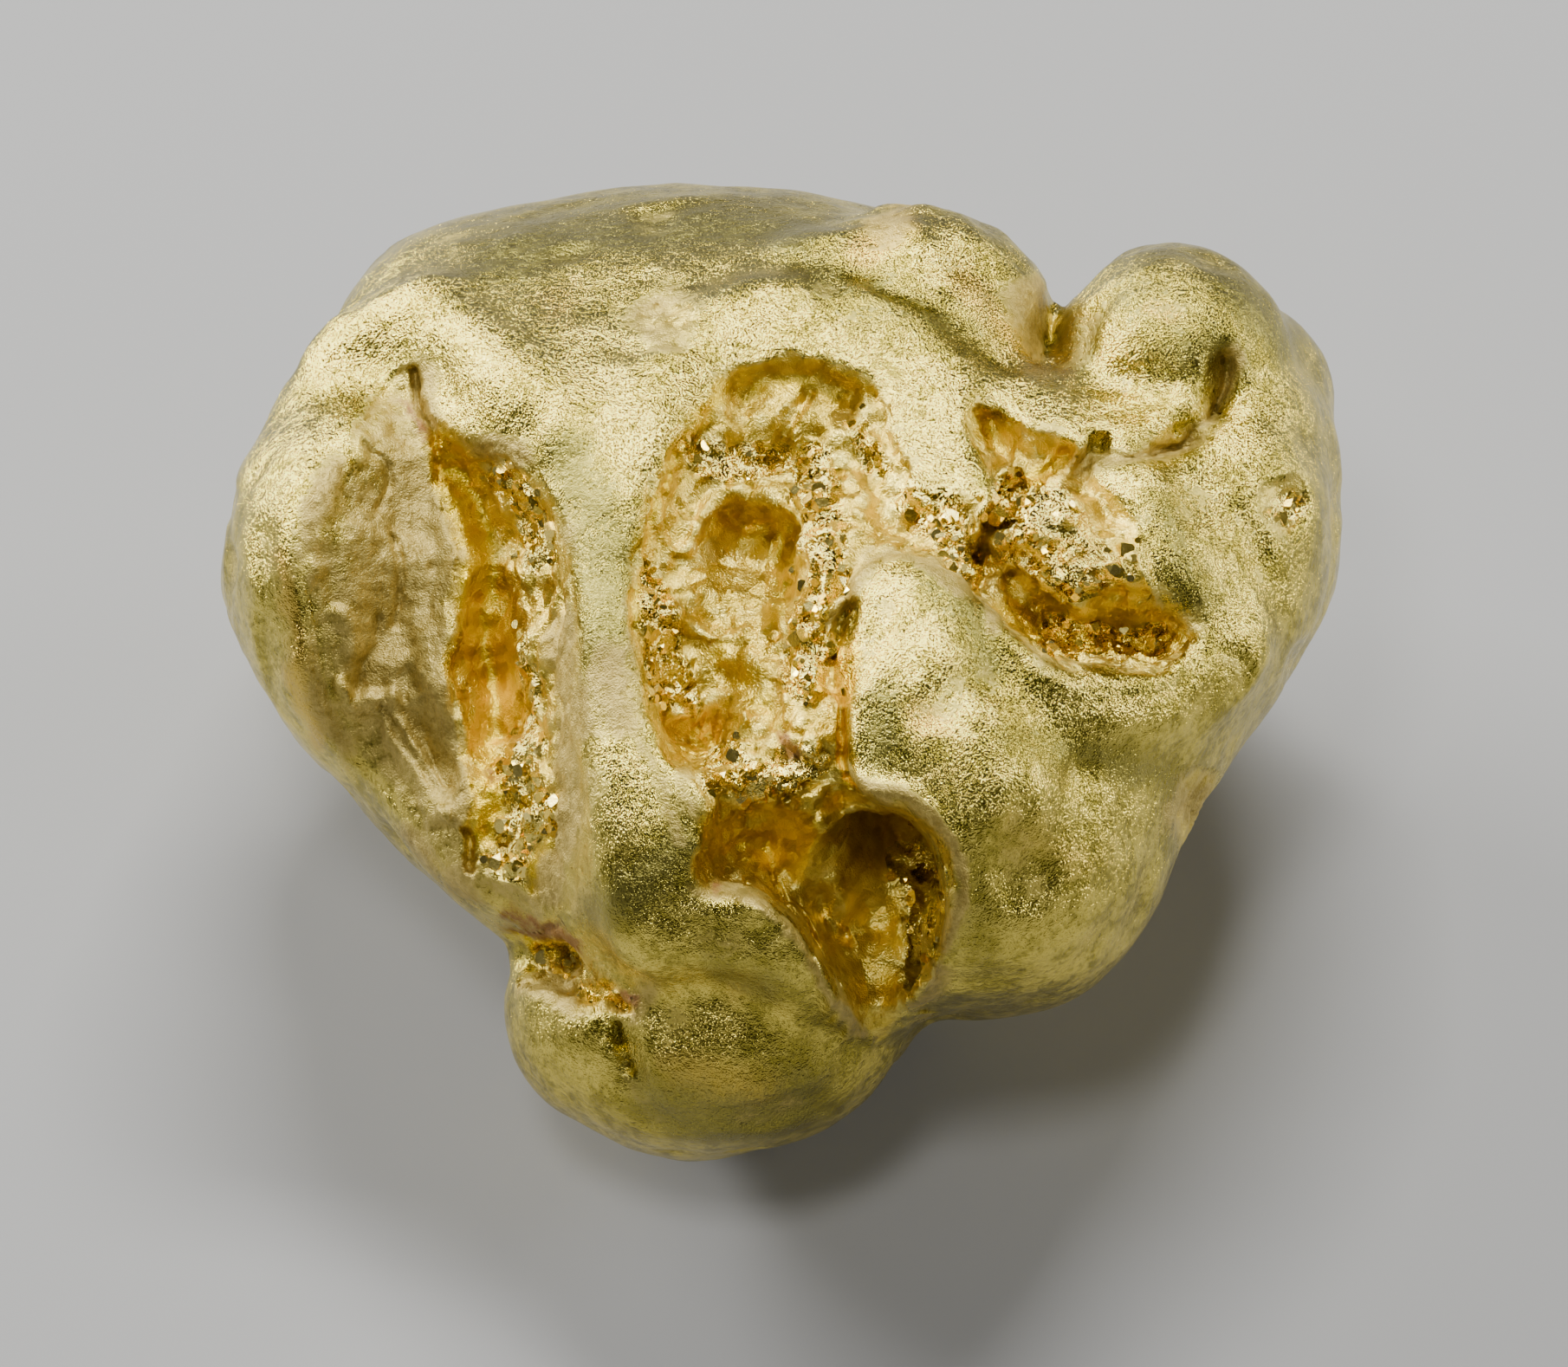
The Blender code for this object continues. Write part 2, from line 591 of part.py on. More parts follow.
def take_hollows(body):
    """Cuts the hollows and cracks out of the body, and then what lies under their rims."""
    skin = Skin(body)

    def build_undercuts(made):
        for stroke in UNDERCUTS:
            add_stroke(made, skin, stroke)

    undercuts = object_from("undercuts", build_undercuts)
    fuse(undercuts, FUSE_GRAIN, CUT_ROUNDING)
    cut_away(body, object_from("hollow_mould", make_mould(skin)))
    cut_away(body, undercuts)
    fuse(body, FINISH_GRAIN, CUT_ROUNDING)


def thin(body):
    """Leaves the finished number of triangles, the most where the surface bends."""
    faces = sum(len(face.vertices) - 2 for face in body.data.polygons)
    decimate = body.modifiers.new("thin", "DECIMATE")
    decimate.ratio = FINISHED_TRIANGLES / faces
    decimate.use_collapse_triangulate = True
    settle(body)


def wear_flat(body):
    """Wears the flat that the nugget rests on, and sets the origin under the nugget's middle."""
    made = bmesh.new()
    made.from_mesh(body.data)
    lowest = min(vert.co.z for vert in made.verts)
    level = Vector((0.0, 0.0, lowest + WORN_DEPTH * MM))
    every = [*made.verts, *made.edges, *made.faces]
    down = (0.0, 0.0, -1.0)
    cut = bmesh.ops.bisect_plane(made, geom=every, plane_co=level, plane_no=down, clear_outer=True)
    rim = [part for part in cut["geom_cut"] if isinstance(part, bmesh.types.BMEdge)]
    bmesh.ops.contextual_create(made, geom=rim)
    bmesh.ops.triangulate(made, faces=[face for face in made.faces if len(face.verts) > 3])
    bmesh.ops.recalc_face_normals(made, faces=made.faces)
    low = Vector([min(vert.co[axis] for vert in made.verts) for axis in range(3)])
    high = Vector([max(vert.co[axis] for vert in made.verts) for axis in range(3)])
    shift = Vector((-(low.x + high.x) / 2, -(low.y + high.y) / 2, -low.z))
    bmesh.ops.translate(made, vec=shift, verts=made.verts)
    made.to_mesh(body.data)
    made.free()


def gold():
    """The metal: pale native gold."""
    material = bpy.data.materials.new("native_gold")
    material.use_nodes = True
    shader = material.node_tree.nodes["Principled BSDF"]
    shader.inputs["Base Color"].default_value = GOLD
    shader.inputs["Metallic"].default_value = 1.0
    shader.inputs["Roughness"].default_value = GOLD_ROUGHNESS
    return material


def main():
    clear_scene()
    pebble = object_from("pebble", make_pebble)
    body = make_body(pebble)
    bpy.data.objects.remove(pebble, do_unlink=True)
    swell(body)
    take_hollows(body)
    body.data.transform(FACE.to_4x4())
    thin(body)
    wear_flat(body)
    body.data.materials.append(gold())
    body.data.shade_smooth()
    body.data.set_sharp_from_angle(angle=SHARP_ANGLE)


main()
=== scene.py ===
"""Dresses the gold nugget: its worn outside, its crystalline hollows, their stains, and a studio round it.

The nugget's face, the side with the hollows, looks forward and up. What lies on it is drawn in the
face's own axes, in millimetres: across (to the right), up (along the face) and out (square to it).
"""

import logging
import math
import random
from dataclasses import dataclass, field
from enum import Enum
from typing import Any, Iterable, Sequence

import bpy
import numpy as np
from mathutils import Matrix, Vector, noise
from mathutils.bvhtree import BVHTree


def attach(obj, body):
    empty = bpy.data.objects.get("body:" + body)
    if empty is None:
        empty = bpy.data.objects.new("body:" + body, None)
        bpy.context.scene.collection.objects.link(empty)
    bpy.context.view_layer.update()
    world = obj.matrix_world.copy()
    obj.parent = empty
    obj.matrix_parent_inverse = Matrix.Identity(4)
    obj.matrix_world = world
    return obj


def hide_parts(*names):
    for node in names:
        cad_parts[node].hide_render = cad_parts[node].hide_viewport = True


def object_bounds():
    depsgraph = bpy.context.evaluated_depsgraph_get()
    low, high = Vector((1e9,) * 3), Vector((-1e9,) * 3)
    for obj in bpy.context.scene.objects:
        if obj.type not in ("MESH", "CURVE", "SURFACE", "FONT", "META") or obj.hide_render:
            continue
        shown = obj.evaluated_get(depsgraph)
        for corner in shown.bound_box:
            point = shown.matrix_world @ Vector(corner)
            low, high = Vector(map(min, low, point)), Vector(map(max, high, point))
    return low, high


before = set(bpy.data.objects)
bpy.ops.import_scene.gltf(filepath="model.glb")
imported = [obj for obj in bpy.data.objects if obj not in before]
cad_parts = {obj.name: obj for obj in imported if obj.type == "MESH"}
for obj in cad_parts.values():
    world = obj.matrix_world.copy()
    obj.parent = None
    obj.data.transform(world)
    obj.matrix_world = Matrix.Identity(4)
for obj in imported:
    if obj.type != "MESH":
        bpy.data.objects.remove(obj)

CAD_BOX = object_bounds()
MM = 0.001
LOG = logging.getLogger("nugget")

Point = tuple[float, float]
Colour = tuple[float, float, float]


# ---------------------------------------------------------------- the face and what is drawn on it


@dataclass(frozen=True)
class Face:
    """The face's own axes, as they lie in the object's frame."""

    elevation: float = math.radians(50.0)
    lean: float = math.radians(6.0)
    middle: tuple[float, float, float] = (-0.235, -0.590, 5.320)
    slope: float = 0.438

    def axes(self) -> Matrix:
        """The matrix whose columns are across, up and out."""
        right = Vector((1.0, 0.0, 0.0))
        rise = Vector((0.0, math.sin(self.elevation), math.cos(self.elevation)))
        out = Vector((0.0, -math.cos(self.elevation), math.sin(self.elevation)))
        across = right * math.cos(self.lean) - rise * math.sin(self.lean)
        up = right * math.sin(self.lean) + rise * math.cos(self.lean)
        return Matrix((across, up, out)).transposed()

    def from_object(self, points: np.ndarray) -> np.ndarray:
        """Points in metres in the object's frame, as face millimetres."""
        return (points / MM - np.array(self.middle)) @ np.array(self.axes())

    def to_object(self, points: np.ndarray) -> np.ndarray:
        """Points in face millimetres, as metres in the object's frame."""
        return (points @ np.array(self.axes()).T + np.array(self.middle)) * MM

    def place(self, across: float, up: float, out: float) -> Vector:
        """One point in face millimetres, as metres in the object's frame."""
        return Vector(self.to_object(np.array([[across, up, out]]))[0])


FACE = Face()


def curve_through(points: Sequence[Sequence[float]], steps: int) -> np.ndarray:
    """Points along a smooth curve.

    Args:
        points: what the curve goes through.
        steps: how many points each run between two of them gets.

    Returns:
        The curve's points, the last one included.
    """
    drawn = [np.array(point, float) for point in points]
    ends = [2 * drawn[0] - drawn[1], *drawn, 2 * drawn[-1] - drawn[-2]]
    found = []
    for before, start, end, after in zip(ends, ends[1:], ends[2:], ends[3:]):
        for step in range(steps):
            t = step / steps
            found.append(
                0.5 * (2 * start + (end - before) * t
                       + (2 * before - 5 * start + 4 * end - after) * t**2
                       + (3 * start - before - 3 * end + after) * t**3)
            )
    return np.array([*found, drawn[-1]])


def ring_through(points: Sequence[Point], steps: int) -> np.ndarray:
    """Points along a smooth closed curve, the first one repeated at its end."""
    around = curve_through([*points[-2:], *points, *points[:3]], steps)
    ring = around[2 * steps:(2 + len(points)) * steps]
    return np.vstack([ring, ring[:1]])


def distances_to(path: np.ndarray, places: np.ndarray) -> np.ndarray:
    """How far each place is from a path of straight runs."""
    starts = path[:-1]
    runs = path[1:] - starts
    lengths = np.maximum((runs**2).sum(axis=1), 1e-12)
    found = np.empty(len(places))
    block = 20000
    for first in range(0, len(places), block):
        offsets = places[first:first + block, None, :] - starts[None, :, :]
        along = np.clip((offsets * runs).sum(axis=2) / lengths, 0, 1)
        gaps = ((offsets - along[..., None] * runs) ** 2).sum(axis=2)
        found[first:first + block] = np.sqrt(gaps.min(axis=1))
    return found


def inside(ring: np.ndarray, places: np.ndarray) -> np.ndarray:
    """Which places lie inside a closed ring."""
    result = np.zeros(len(places), bool)
    for start, end in zip(ring[:-1], ring[1:]):
        crosses = (start[1] > places[:, 1]) != (end[1] > places[:, 1])
        run = end[1] - start[1] or 1e-9
        edge = start[0] + (places[:, 1] - start[1]) * (end[0] - start[0]) / run
        result ^= crosses & (places[:, 0] < edge)
    return result


def fade(values: np.ndarray, start: float, end: float) -> np.ndarray:
    """Values carried smoothly from 0 at start to 1 at end."""
    t = np.clip((values - start) / (end - start), 0, 1)
    return t * t * (3 - 2 * t)


class Stain(Enum):
    """What the mesh keeps at each vertex, and the names it is kept under."""

    CRUST = "crust"
    # Painted glow and shade: the saturated orange of light bouncing deep in the hollows and cracks.
    PAINTED_GLOW = "amber"
    CLAY = "clay"
    IRON = "iron"
    WARM = "warm"
    # Painted shade: darker greenish patches on the outside where it turns from the light.
    PAINTED_SHADE = "olive"
    # Painted shade: where the grains' seams lie, darkened in colour.
    SEAM = "seam"
    GLINT = "glint"
    SMOOTH = "smooth"


@dataclass(frozen=True)
class Hollow:
    """A hollow inside a closed curve of (across, up) points.

    How crystalline its floor is, how stained its rim is, and how far its lip stands up in millimetres
    come after its name.
    """

    name: str
    rim: tuple[Point, ...]
    crust: float
    stain: float
    lip: float

    def depth_in(self, places: np.ndarray) -> np.ndarray:
        """How far in from the rim each place lies, below 0 outside it."""
        ring = ring_through(self.rim, 5)
        gap = distances_to(ring, places)
        return np.where(inside(ring, places), gap, -gap)


@dataclass(frozen=True)
class Fold:
    """A raised or sunken line: its (across, up) points, half its width and its rise, in millimetres."""

    points: tuple[Point, ...]
    half_width: float
    rise: float

    def share_at(self, places: np.ndarray) -> np.ndarray:
        """How much of the full rise each place has."""
        gap = distances_to(curve_through(self.points, 5), places) / self.half_width
        return np.clip(1 - gap**2, 0, 1)


@dataclass(frozen=True)
class Tint:
    """A stroke or a spot of one stain or of painted light: its (across, up) points, half its width and its strength.
    """

    stain: Stain
    points: tuple[Point, ...]
    half_width: float
    strength: float = 1.0

    def share_at(self, places: np.ndarray) -> np.ndarray:
        """How strong the stain is at each place."""
        if len(self.points) == 1:
            gap = np.hypot(places[:, 0] - self.points[0][0], places[:, 1] - self.points[0][1])
        else:
            gap = distances_to(curve_through(self.points, 4), places)
        return self.strength * np.exp(-((gap / self.half_width) ** 2))


@dataclass(frozen=True)
class Roll:
    """A stretch of rim that rolls over softly: its (across, up) points and half its width."""

    points: tuple[Point, ...]
    half_width: float

    def share_at(self, places: np.ndarray) -> np.ndarray:
        """How much each place belongs to it."""
        gap = distances_to(curve_through(self.points, 4), places)
        return np.exp(-((gap / self.half_width) ** 2))


HOLLOWS = (
    Hollow(
        "left_dish",
        ((-5.95, 4.80), (-5.45, 3.95), (-4.20, 3.40), (-3.50, 2.50), (-3.15, 1.00), (-3.10, -0.60),
         (-3.05, -2.20), (-3.20, -3.60), (-3.90, -4.10), (-4.80, -3.60), (-5.70, -2.75), (-6.50, -1.70),
         (-7.30, -0.60), (-7.65, 0.80), (-7.40, 2.40), (-6.90, 3.60), (-6.45, 4.35)),
        0.12, 0.80, 0.07,
    ),
    Hollow(
        "left_channel",
        ((-5.85, 4.45), (-5.45, 3.75), (-4.90, 3.55), (-4.30, 3.30), (-3.80, 2.85), (-3.50, 2.00), (-3.40, 0.60),
         (-3.35, -1.00), (-3.35, -2.40), (-3.50, -3.50), (-4.20, -3.35), (-4.80, -3.15), (-5.05, -2.70),
         (-4.85, -1.90), (-5.10, -1.00), (-5.35, -0.10), (-5.25, 0.90), (-5.10, 1.80), (-5.40, 2.60),
         (-5.60, 3.30)),
        0.85, 0.55, 0.08,
    ),
    Hollow(
        "middle_hollow",
        ((-0.70, 4.80), (0.10, 4.95), (1.00, 4.85), (1.70, 4.40), (1.95, 3.60), (2.00, 2.95), (2.90, 2.90),
         (3.50, 2.60), (3.10, 1.35), (2.70, 1.50), (2.10, 1.85), (1.50, 1.80), (1.05, 1.35), (0.90, 0.40),
         (0.90, -0.60), (1.00, -1.60), (0.90, -2.40), (0.30, -3.20), (-0.50, -3.50), (-1.30, -3.35),
         (-1.10, -2.20), (-1.20, -1.70), (-1.70, -1.50), (-1.95, -0.90), (-2.25, 0.20), (-2.35, 1.20),
         (-2.15, 2.50), (-1.75, 3.50), (-1.20, 4.30)),
        1.00, 0.35, 0.09,
    ),
    Hollow(
        "deep_pocket",
        ((0.30, -1.90), (0.95, -1.60), (1.40, -2.00), (2.00, -2.20), (2.45, -2.65), (2.62, -3.40), (2.50, -4.20),
         (2.10, -5.00), (1.75, -5.60), (1.45, -5.85), (1.15, -5.50), (0.80, -4.90), (0.40, -4.25), (0.00, -3.75),
         (-0.60, -3.45), (-0.90, -2.90), (-0.40, -2.30)),
        0.70, 0.35, 0.10,
    ),
    Hollow(
        "right_hollow",
        ((3.10, 1.25), (3.45, 0.70), (4.20, 0.15), (5.00, -0.02), (5.80, 0.05), (6.45, 0.35), (6.50, 0.80),
         (5.90, 1.15), (5.65, 1.80), (5.45, 2.50), (4.95, 3.05), (4.75, 3.50), (4.30, 3.75), (3.75, 3.90),
         (3.20, 4.30), (3.00, 3.90), (3.20, 3.30), (3.35, 2.60)),
        1.00, 0.50, 0.08,
    ),
    Hollow(
        "cavern_mouth",
        ((-4.40, -4.20), (-3.80, -4.10), (-3.35, -4.25), (-3.05, -4.60), (-2.75, -5.00), (-2.25, -5.15),
         (-2.55, -5.40), (-3.25, -5.25), (-3.90, -4.95), (-4.45, -4.75)),
        0.90, 0.70, 0.06,
    ),
    Hollow("top_pit", ((-2.15, 5.95), (-1.70, 5.95), (-1.40, 5.55), (-1.65, 5.25), (-2.10, 5.45)), 0.30, 0.60, 0.04),
    Hollow("side_pit", ((7.60, 2.95), (8.20, 3.00), (8.35, 2.50), (8.00, 2.20), (7.65, 2.45)), 0.50, 0.50, 0.04),
    Hollow("side_notch", ((6.30, -1.70), (6.80, -1.60), (6.90, -2.20), (6.60, -2.80), (6.20, -2.50)), 0.4, 0.70, 0.04),
)

ROLLS = (
    Roll(((-5.60, -2.95), (-6.60, -1.75), (-7.35, -0.60), (-7.70, 0.80), (-7.45, 2.40), (-6.95, 3.60)), 0.55),
    Roll(((-3.15, 1.60), (-3.10, -0.60), (-3.05, -2.20), (-3.20, -3.40)), 0.50),
    Roll(((-1.30, 4.30), (-0.60, 4.90), (0.30, 5.05), (1.20, 4.85), (1.80, 4.40)), 0.55),
    Roll(((-1.30, 4.30), (-1.85, 3.50), (-2.25, 2.40), (-2.40, 1.20), (-2.30, 0.10)), 0.42),
    Roll(((2.10, 4.00), (2.00, 3.10), (2.60, 2.95), (3.20, 2.80)), 0.38),
    Roll(((6.20, 0.95), (5.85, 1.35), (5.55, 2.30), (5.05, 3.00)), 0.45),
    Roll(((-1.20, -3.50), (-0.50, -3.60), (0.10, -4.00), (0.80, -5.05)), 0.30),
)

FOLDS = (
    # Cracks.
    Fold(((1.05, 1.00), (0.84, 0.30), (0.80, -0.60), (0.92, -1.70)), 0.11, -0.35),
    Fold(((3.05, 1.30), (3.22, 1.90), (3.42, 2.50), (3.75, 3.10)), 0.11, -0.45),
    Fold(((4.72, 3.15), (4.95, 3.38), (5.12, 3.62)), 0.11, -0.30),
    Fold(((5.12, 3.50), (5.70, 3.46), (6.40, 3.70), (6.90, 4.18)), 0.08, -0.12),
    Fold(((5.80, 3.50), (6.15, 3.58), (6.42, 3.72)), 0.13, -0.35),
    Fold(((6.84, 4.12), (7.02, 4.50), (6.95, 4.98)), 0.12, -0.35),
    Fold(((5.20, 3.72), (5.70, 3.78), (6.20, 4.05), (6.60, 4.30)), 0.24, 0.10),
    Fold(((4.50, 6.60), (4.34, 5.80), (4.28, 5.00)), 0.12, -0.45),
    Fold(((-6.40, 0.75), (-6.55, 0.10), (-6.75, -0.35)), 0.08, -0.12),
    Fold(((-6.25, -0.45), (-5.88, -1.15), (-5.42, -2.05)), 0.08, -0.12),
    Fold(((-5.00, -2.50), (-4.85, -3.05)), 0.13, -0.40),
    Fold(((-2.55, -5.65), (-2.32, -6.40)), 0.10, -0.25),
    Fold(((-5.90, 4.70), (-5.60, 3.95), (-5.45, 3.40)), 0.10, -0.35),
    Fold(((-6.15, 2.20), (-6.00, 1.30), (-6.10, 0.75)), 0.08, -0.16),
    Fold(((-6.60, 3.70), (-6.30, 3.20), (-6.35, 2.60)), 0.07, -0.12),
    Fold(((2.68, 4.95), (2.82, 4.60)), 0.06, -0.14),
    # Steps and lips.
    Fold(((-6.95, -0.30), (-6.75, -0.52), (-6.35, -0.40), (-6.05, -0.85), (-5.75, -1.50), (-5.45, -2.20)), 0.26, 0.26),
    Fold(((-6.95, 0.90), (-6.80, 0.30), (-6.85, -0.20)), 0.22, 0.16),
    Fold(((-5.95, -0.10), (-5.60, -0.90), (-5.25, -1.70)), 0.24, -0.12),
    Fold(((0.98, -1.50), (1.45, -1.90), (2.05, -2.10), (2.58, -2.60), (2.75, -3.40), (2.62, -4.30)), 0.24, 0.12),
    Fold(((-0.50, -3.62), (0.05, -3.92), (0.50, -4.60), (0.95, -5.30)), 0.22, 0.10),
    Fold(((3.20, 0.95), (3.60, 0.40), (4.40, -0.10), (5.40, -0.22), (6.30, 0.05)), 0.22, 0.08),
    # The relief of the hollows' floors.
    Fold(((-0.60, 4.40), (0.20, 4.55), (0.95, 4.25)), 0.38, -0.30),
    Fold(((0.32, 4.30), (0.08, 3.95), (0.02, 3.45)), 0.16, -0.22),
    Fold(((0.55, 3.10), (0.60, 2.00), (0.42, 1.00), (0.35, -0.30), (0.50, -1.20)), 0.38, 0.30),
    Fold(((-1.60, 3.00), (-1.00, 3.20), (-0.30, 3.00)), 0.40, 0.14),
    Fold(((-1.50, 1.95), (-1.15, 2.50), (-0.60, 2.75), (0.00, 2.60), (0.35, 2.05), (0.25, 1.40)), 0.17, 0.16),
    Fold(((-0.75, 2.45), (-0.20, 2.30), (0.05, 1.85), (-0.05, 1.35)), 0.24, -0.30),
    Fold(((-1.75, 0.90), (-1.20, 0.55), (-0.70, 0.70)), 0.28, 0.16),
    Fold(((-0.80, -0.10), (-0.35, -0.60), (-0.40, -1.10)), 0.25, -0.18),
    Fold(((-0.75, -1.50), (-0.35, -1.90), (0.10, -1.65)), 0.30, 0.22),
    Fold(((-1.00, -2.40), (-0.50, -2.80), (0.10, -2.60)), 0.35, -0.20),
    Fold(((1.15, 4.20), (1.30, 3.50), (1.60, 2.70)), 0.30, -0.16),
    Fold(((2.10, 2.60), (2.60, 2.35), (2.95, 1.80)), 0.30, 0.16),
    Fold(((3.60, 1.20), (4.30, 0.72), (5.10, 0.55), (6.00, 0.75)), 0.30, -0.28),
    Fold(((5.05, 1.55), (5.25, 1.15), (5.15, 0.85)), 0.14, -0.20),
    Fold(((3.85, 2.95), (4.25, 3.15), (4.55, 3.40)), 0.20, -0.22),
    Fold(((3.95, 2.50), (4.40, 1.90), (5.00, 1.45)), 0.95, 0.75),
    Fold(((3.70, 2.60), (4.40, 2.50), (5.00, 2.20)), 0.22, 0.10),
    Fold(((-4.30, 3.10), (-4.00, 2.70)), 0.26, 0.14),
    Fold(((-4.10, 1.60), (-4.05, 1.00)), 0.26, 0.12),
    Fold(((-3.90, -0.05), (-3.95, -0.35)), 0.24, 0.16),
    Fold(((-3.80, -1.75), (-3.95, -2.20)), 0.30, 0.16),
    Fold(((-4.75, 0.60), (-4.55, -0.40), (-4.60, -1.40)), 0.32, -0.22),
    Fold(((-5.60, 1.90), (-5.70, 0.60), (-5.55, -0.60), (-5.10, -1.70)), 0.22, 0.07),
    Fold(((-7.25, 1.60), (-7.10, 0.20), (-6.85, -0.30)), 0.20, 0.07),
    Fold(((0.70, -2.80), (1.20, -3.40), (1.50, -4.20), (1.50, -5.00)), 0.95, 1.20),
    Fold(((1.90, -3.00), (2.20, -3.60), (2.10, -4.30)), 0.30, 0.20),
    Fold(((0.90, -3.40), (1.10, -4.20)), 0.25, 0.16),
    Fold(((-3.85, -4.55), (-3.25, -4.85), (-2.60, -5.18)), 0.20, -0.20),
)
